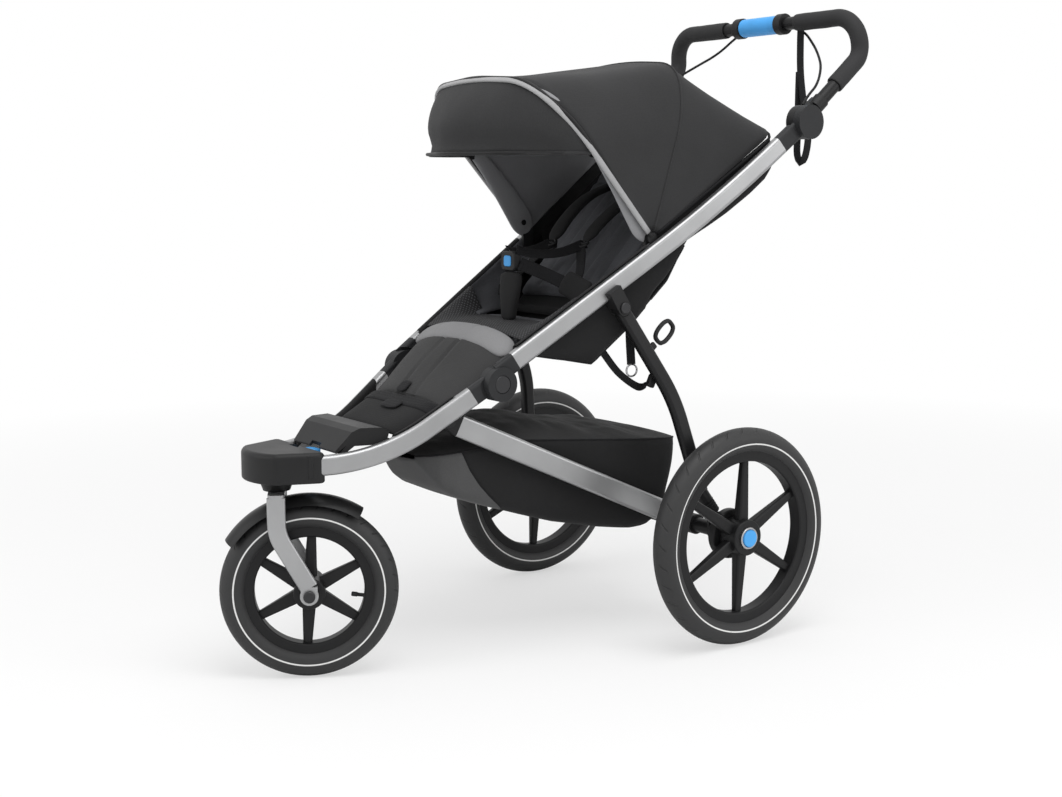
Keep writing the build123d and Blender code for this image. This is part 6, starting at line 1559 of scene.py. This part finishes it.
# ---- basket and pouch ---------------------------------------------------------------------------
@dataclass
class Basket:
    """Under-seat basket: a sagging cloth bag with a nose painted paler as painted light, and a loose cover with
    a welt.
    """

    cloth: Look
    nose_cloth: Look
    cover_cloth: Look
    trim: Look
    front: float = -532.0
    back: float = -38.0
    lean: float = 22.0
    count: int = 49
    folded: float = 0.2
    seam: Line = (
        (190, -285), (218, -292), (232, -325), (256, -370), (288, -408), (313, -430), (340, -448), (390, -470))
    plan: Line = (
        (-533, 58), (-520, 74), (-500, 91), (-470, 103), (-400, 114), (-300, 129.5), (-200, 145), (-100, 160),
        (-66, 163), (-50, 160), (-42, 154), (-38, 146))
    bottom: Line = (
        (-533, 360), (-520, 343), (-492, 307), (-470, 291), (-400, 264), (-267, 222), (-170, 201), (-108, 192),
        (-78, 193), (-58, 204), (-45, 222), (-38, 246))
    top: Line = ((-533, 366), (-440, 376), (-343, 384), (-200, 374), (-33, 361))
    cover_rise: Line = ((-533, 0), (-470, 9), (-380, 30), (-300, 34), (-180, 20), (-33, 4))

    def lean_at(self, y: float) -> float:
        """Return how far the bag's top edge leans to the rear at y."""
        return self.lean * smoothstep((y + 150.0) / 112.0)

    def ring(self, y: float) -> Section:
        """Return the bag's line across at y, from one top edge under to the other."""
        half, low, high = value_at(self.plan, y), value_at(self.bottom, y), value_at(self.top, y)
        corner = min(46.0, (high - low) * 0.6, half * 0.5)
        middle = (low + high) / 2
        points = [mm(-half, y, high), mm(-half - 1.5, y, middle), mm(-half + 3, y, low + 2),
                  mm(0, y, low - 1), mm(half - 3, y, low + 2), mm(half + 1.5, y, middle), mm(half, y, high)]
        line = bent_line(points, corner * MM, self.count)
        lean = self.lean_at(y)
        for point in line:
            point.y += lean * MM * smoothstep((point.z / MM - 215.0) / 140.0)
        return [point + Vector((math.copysign(1, point.x), 0, -0.4)) * Crumple.BAG.at(point)
                * (0.0 if index in (0, self.count - 1) else 1.0) for index, point in enumerate(line)]

    def build_bag(self) -> None:
        """Make the bag's nose and body, which meet at a curved seam, and the seam's welt."""
        rings = [self.ring(lerp(self.front, self.back, index / 240)) for index in range(241)]
        nose, body = [[] for _ in range(22)], [[] for _ in range(45)]
        for column in zip(*rings):
            gaps = [point.y / MM - value_at(self.seam, point.z / MM) for point in column]
            place = next(index for index, gap in enumerate(gaps) if gap > 0)
            cut = column[place - 1].lerp(column[place], -gaps[place - 1] / (gaps[place] - gaps[place - 1]))
            for rows, part in ((nose, [*column[:place], cut]), (body, [cut, *column[place:]])):
                for row, point in zip(rows, evenly(part, len(rows))):
                    row.append(point)
        bag = cloth(body, "basket_bag", self.cloth, "lower_bars", "hung", "lower_bars", BAG_CLOTH)
        self.crumple(bag)
        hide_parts("basket")
        self.crumple(cloth(nose, "basket_nose", self.nose_cloth, "lower_bars", "hung", "lower_bars",
                           BAG_CLOTH))
        self.crumple(piece(round_line(body[0], 1.5 * MM, 8), "basket_seam", self.trim, "lower_bars"))
        self.build_rear(rings[-1])

    def build_rear(self, rim: Section) -> None:
        """Close the bag's rear end with a panel that bulges a little."""
        rows = []
        last = len(rim) - 1
        half, high = value_at(self.plan, self.back), value_at(self.top, self.back)
        for step in range(13):
            share = step / 12
            row = []
            for index, point in enumerate(rim):
                place = 2 * index / last - 1
                top = mm(half * place, self.back + self.lean, high)
                bulge = 9.0 * math.sin(math.pi * share) * (1 - place ** 4)
                row.append(point.lerp(top, share) + mm(0, bulge, 0))
            rows.append(row)
        self.crumple(cloth(rows, "basket_rear", self.cloth, "lower_bars", "hung", "lower_bars",
                           BAG_CLOTH))

    def build_cover(self) -> None:
        """Make the loose cover, rumpled over what it hides, and the welt along its edge."""
        first, end = -531.0, -35.0
        stations = [lerp(first, end, index / 70) for index in range(71)]
        sections, left, right = [], [], []
        for y in stations:
            half, high, rise = value_at(self.plan, y), value_at(self.top, y), value_at(self.cover_rise, y)
            section = []
            for step in range(33):
                place = 2 * step / 32 - 1
                dome = (1 - abs(place) ** 3.2) * rise
                point = mm(half * place, y + self.lean_at(y), high + 1.0 + dome)
                loose = (1 - place ** 6) * smoothstep((y - first) / 40) * smoothstep((end - y) / 40)
                crease = Crumple.COVER_BROAD.at(Vector((point.x * 0.6, point.y, 0)))
                crease += Crumple.COVER_FINE.at(Vector((point.x, point.y * 1.6, 0)))
                section.append(point + Vector((0, 0, crease * loose)))
            sections.append(section)
            left.append(section[-1])
            right.append(section[0])
        cover = cloth(sections, "basket_top", self.cover_cloth, "lower_bars", "laid", "lower_bars",
                      SHELL_CLOTH)
        soften(cover)
        self.crumple(cover)
        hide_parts("basket_cover")
        for line, word in ((left, "left"), (right, "right")):
            self.crumple(piece(round_line([point + mm(0, 0, -1) for point in line], 1.8 * MM, 8),
                               f"basket_welt_{word}", self.trim, "lower_bars"))

    def crumple(self, thing: bpy.types.Object) -> None:
        """Give a soft piece a mesh of its own.

        Args:
            thing: The piece, with its mesh final.
        """
        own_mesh(thing)

    def build(self) -> None:
        """Build the basket."""
        self.build_bag()
        self.build_cover()


@dataclass
class Pouch:
    """Soft pouch behind the backrest, with a flap edge."""

    cloth: Look

    def build(self) -> None:
        """Build the pouch."""

        def sew(point: Vector, normal: Vector) -> Vector:
            """Rumple the pouch a little."""
            return normal * Crumple.POUCH.at(point)

        Stuffing("rear_pouch", "back_pouch", voxel=0.006, cap=0.008, fill=0.5).build(
            self.cloth, "backrest", sew)


# ---- small trim ---------------------------------------------------------------------------------
@dataclass
class Trim:
    """Small pieces that the frame leaves out: straps, buckle tab, ring, valve, brake cables and wrist strap."""

    webbing: Look
    plastic: Look
    metal: Look
    rubber: Look
    foam: Look
    cable_radius: float = 2.5
    cable_length: float = 0.3095
    boot_low: float = 13.0
    boot_high: float = 43.6
    boot_in: float = 10.5
    boot_out: float = 13.5
    boot_bore: float = 6.4
    boot_ribs: int = 5
    boot_stroke: float = 15.0

    def box_tab(self, name: str, spot: Point, size: Point, turn: Point, body: str) -> None:
        """Make one small moulded tab with rounded edges.

        Args:
            name: Its name.
            spot: Its middle, in millimetres.
            size: Its width, depth and height, in millimetres.
            turn: Its turns about X, Y and Z, in degrees.
            body: The body that it rides on.
        """
        bm = bmesh.new()
        bmesh.ops.create_cube(bm, size=1.0)
        bmesh.ops.scale(bm, vec=Vector(size) * MM, verts=bm.verts)
        edge = min(size) * 0.3 * MM
        bmesh.ops.bevel(bm, geom=bm.edges[:], offset=edge, affect="EDGES", segments=3, profile=0.5, material=-1)
        for axis, angle in zip("XYZ", turn):
            bmesh.ops.rotate(bm, verts=bm.verts, matrix=Matrix.Rotation(math.radians(angle), 3, axis))
        bmesh.ops.translate(bm, verts=bm.verts, vec=mm(*spot))
        piece(bm, name, self.plastic, body)

    def wrist_strap(self) -> None:
        """Make the wrist strap: a band round the handle tube, hanging down in a loop."""
        route = ((105, 352, 1158), (104, 352, 1120), (102, 356, 1060), (106, 362, 1000), (116, 366, 940),
                 (112, 364, 896), (102, 360, 882), (94, 358, 900), (96, 357, 950), (99, 354, 1010),
                 (103, 351, 1062))
        loop = strap(route, (1, 0, 0), 19, 1.8, "wrist_loop", self.webbing, "handlebar", count=90)
        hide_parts("wrist_strap")

    def leg_straps(self) -> None:
        """Make the strap and buckle tab that draw the backrest up, and the strap to the leg."""
        strap(((165, -199, 539), (170, -165, 498), (180, -130, 471), (196, -122, 474), (210, -125, 486)),
              (0.6, -0.2, 0.6), 18, 2.0, "side_strap", self.webbing, "upper_frame")
        self.box_tab("recline_tab_stem", (205, -118, 541), (8, 26, 13), (42, 0, 0), "rear_legs")
        turn = math.radians(42.0)
        along = Vector((0.0, math.cos(turn), math.sin(turn)))
        across = Vector((0.0, -math.sin(turn), math.cos(turn)))
        outline = ((-20, -9), (-9, -14), (9, -14), (20, -9), (22, 0), (20, 9), (9, 14), (-9, 14), (-20, 9),
                   (-22, 0), (-20, -9))
        loop = [mm(205, -86, 570) + along * u * MM + across * v * MM for u, v in outline]
        ring = round_line(arc_points(loop, 60), 4.2 * MM, 10, Vector((1, 0, 0)))
        piece(ring, "recline_tab", self.plastic, "rear_legs")
        self.box_tab("leg_strap_box", (208, -118, 483), (12, 16, 24), (-25, 0, 0), "rear_legs")

    def nose_sockets(self) -> None:
        """Make the raised pad on each side of the nose housing, over the end of the front tube inside it."""
        for side, word in SIDES:
            self.box_tab(f"nose_socket_{word}", (side * 82.9, -745.4, 374.5), (2.4, 9, 38),
                         (0, 0, -21.8 * side), "front_frame")

    def ring(self) -> None:
        """Make the metal ring on the strap below the seat."""
        line = [Vector((0.0, math.cos(turn) * 12, math.sin(turn) * 11)) * MM + mm(190, -150, 503)
                for turn in [2 * math.pi * step / 28 for step in range(29)]]
        piece(round_line(line, 1.8 * MM, 8, Vector((1, 0, 0))), "strap_ring", self.metal, "upper_frame")
        strap(((193, -158, 596), (192, -156, 560), (190, -151, 514)), (0.9, -0.4, 0), 16, 2.0, "ring_strap",
              self.webbing, "upper_frame", count=14)

    def handle_cables(self) -> None:
        """Make the two brake cables that run from the twist grip down to the handle's hinges."""
        route = ((71.9, 359.5, 1151.5), (97, 366, 1147), (140, 353, 1113), (180, 326, 1088), (216, 297, 1062),
                 (240, 262, 1026), (251, 225, 1004), (253, 211.5, 987.2))
        for side, word in SIDES:
            line = bpy.data.curves.new(f"handle_cable_{word}", "CURVE")
            line.dimensions = "3D"
            spline = line.splines.new("NURBS")
            spline.points.add(len(route) - 1)
            for point, (x, y, z) in zip(spline.points, route):
                point.co = (side * x * MM, y * MM, z * MM, 1.0)
            spline.order_u = 3
            spline.use_endpoint_u = True
            line.bevel_depth = self.cable_radius * MM
            line.bevel_resolution = 4
            line.resolution_u = 10
            line.use_fill_caps = True
            line.materials.append(self.rubber.material)
            cable = put_in_scene(line.name, line)
            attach(cable, "handlebar")
            x, y, z = route[0]
            if word == "left":
                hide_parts("handle_cables")

    def boots(self) -> None:
        """Make the ribbed boot round each shock's rod."""
        along = Vector((0.0, -0.606, 0.7955)).normalized()
        for side, word in SIDES:
            foot = mm(side * 270.0, -12.0, 228.0)
            outside = []
            for step in range(51):
                swell = 0.5 - 0.5 * math.cos(2 * math.pi * self.boot_ribs * step / 50)
                outside.append((lerp(self.boot_in, self.boot_out, swell),
                                lerp(self.boot_low, self.boot_high, step / 50)))
            profile = [(self.boot_bore, self.boot_low), *outside, (self.boot_bore, self.boot_high),
                       (self.boot_bore, self.boot_low)]
            boot = piece(lathe(profile, foot, along, 40), f"shock_boot_{word}", self.rubber, "rear_legs")
            if word == "left":
                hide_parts("shock_boots")
            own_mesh(boot)

    def grips(self) -> None:
        """Make the soft foam sleeves on the handle's bends."""
        sleeves = Stuffing("foam_grips", "foam_sleeves", voxel=0.0022, start_in=0.0, fill=0.95, filled=False,
                           levels=0)
        sleeves.build(self.foam, "handlebar", lambda point, normal: normal * Crumple.GRIP.at(point))

    def valve(self) -> None:
        """Make the front wheel's valve, which points from its rim to its hub."""
        centre = mm(24.41, -722.09, 152.0)
        rearward, low = Vector((0.46947, 0.88295, 0.0)), math.radians(-9.0)
        out = rearward * math.cos(low) + Vector((0.0, 0.0, 1.0)) * math.sin(low)
        profile = [(0, 0), (4.6, 0), (4.6, 1.6), (3.2, 3.0), (3.2, 13.0), (4.1, 13.6), (4.1, 22.0),
                   (3.0, 23.6), (0, 23.6)]
        piece(lathe(profile, centre + out * 95.0 * MM, -out, 20), "front_valve", self.plastic, "front_wheel")

    def build(self) -> None:
        """Build the small trim."""
        self.wrist_strap()
        self.leg_straps()
        self.ring()
        self.nose_sockets()
        self.handle_cables()
        self.boots()
        self.grips()
        self.valve()


def main() -> None:
    """Build the whole scene, sub-assembly by sub-assembly."""
    logging.basicConfig(level=logging.INFO, format="%(name)s: %(message)s")
    Studio().build()
    parts = HardParts()
    parts.build()
    Tyres().build(parts)
    charcoal = Look(Cloth("canopy_weave", Shade.CHARCOAL, 0.0011, 0.3, 0.08).build(), "charcoal_fabric")
    dark = Look(Cloth("tub_weave", Shade.CHARCOAL_DARK, 0.0011, 0.3, 0.05).build(), "charcoal_fabric")
    # The canopy lining's colour holds painted light for the canopy's dim inside.
    lining = Look(Cloth("lining_weave_plus_painted_light", Shade.LINING_PLUS_PAINTED_LIGHT, 0.0007, 0.2, 0.05).build(), "seat_liner")
    # The sleeves' colour holds painted light for the canopy's dim inside.
    sleeve = Look(Cloth("sleeve_weave_plus_painted_light", Shade.SLEEVE_PLUS_PAINTED_LIGHT, 0.0009, 0.25, 0.05).build(), "seat_liner")
    liner = Look(Cloth("liner_weave", Shade.LINER, 0.0013, 0.5, 0.08).build(), "seat_liner")
    panel = Look(Cloth("panel_weave", Shade.PANEL, 0.0011, 0.35, 0.08).build(), "charcoal_fabric")
    band = Look(Cloth("band_weave", Shade.BAND, 0.0009, 0.25, 0.05, 0.75).build(), "knee_band")
    piping = Look(Cloth("reflective_weave", Shade.PIPING, 0.0008, 0.2, 0.0, 0.5).build(), "knee_band")
    webbing = Look(Cloth("webbing_weave", Shade.WEB, 0.0015, 0.5, 0.05, 0.75).build(), "webbing")
    # The nose's colour is the basket cloth painted paler as painted light.
    nose = Look(Cloth("nose_weave_painted_light", Shade.NOSE_PAINTED_LIGHT, 0.0011, 0.3, 0.06).build(), "charcoal_fabric")
    cover = Look(Cloth("cover_weave", Shade.COVER, 0.0011, 0.3, 0.06).build(), "charcoal_fabric")
    net = Look(Net("black_net").build(), "webbing")
    dark_pad = Look(dark.material, "seat_liner")
    plastic = Look(parts.finishes["black"], "black_plastic")
    metal = Look(parts.finishes["zinc"], "steel")
    rubber = Look(parts.finishes["rubber"], "boot_rubber")
    foam = Look(parts.finishes["foam"], "foam")
    Canopy(charcoal, lining, sleeve, piping, webbing, dark).build()
    Seat(dark, liner, panel, band, net, webbing, dark).build()
    Harness(webbing, dark_pad, dark_pad, plastic).build()
    Basket(dark, nose, cover, webbing).build()
    Pouch(charcoal).build()
    Trim(webbing, plastic, metal, rubber, foam).build()


if __name__ == "__main__":
    main()
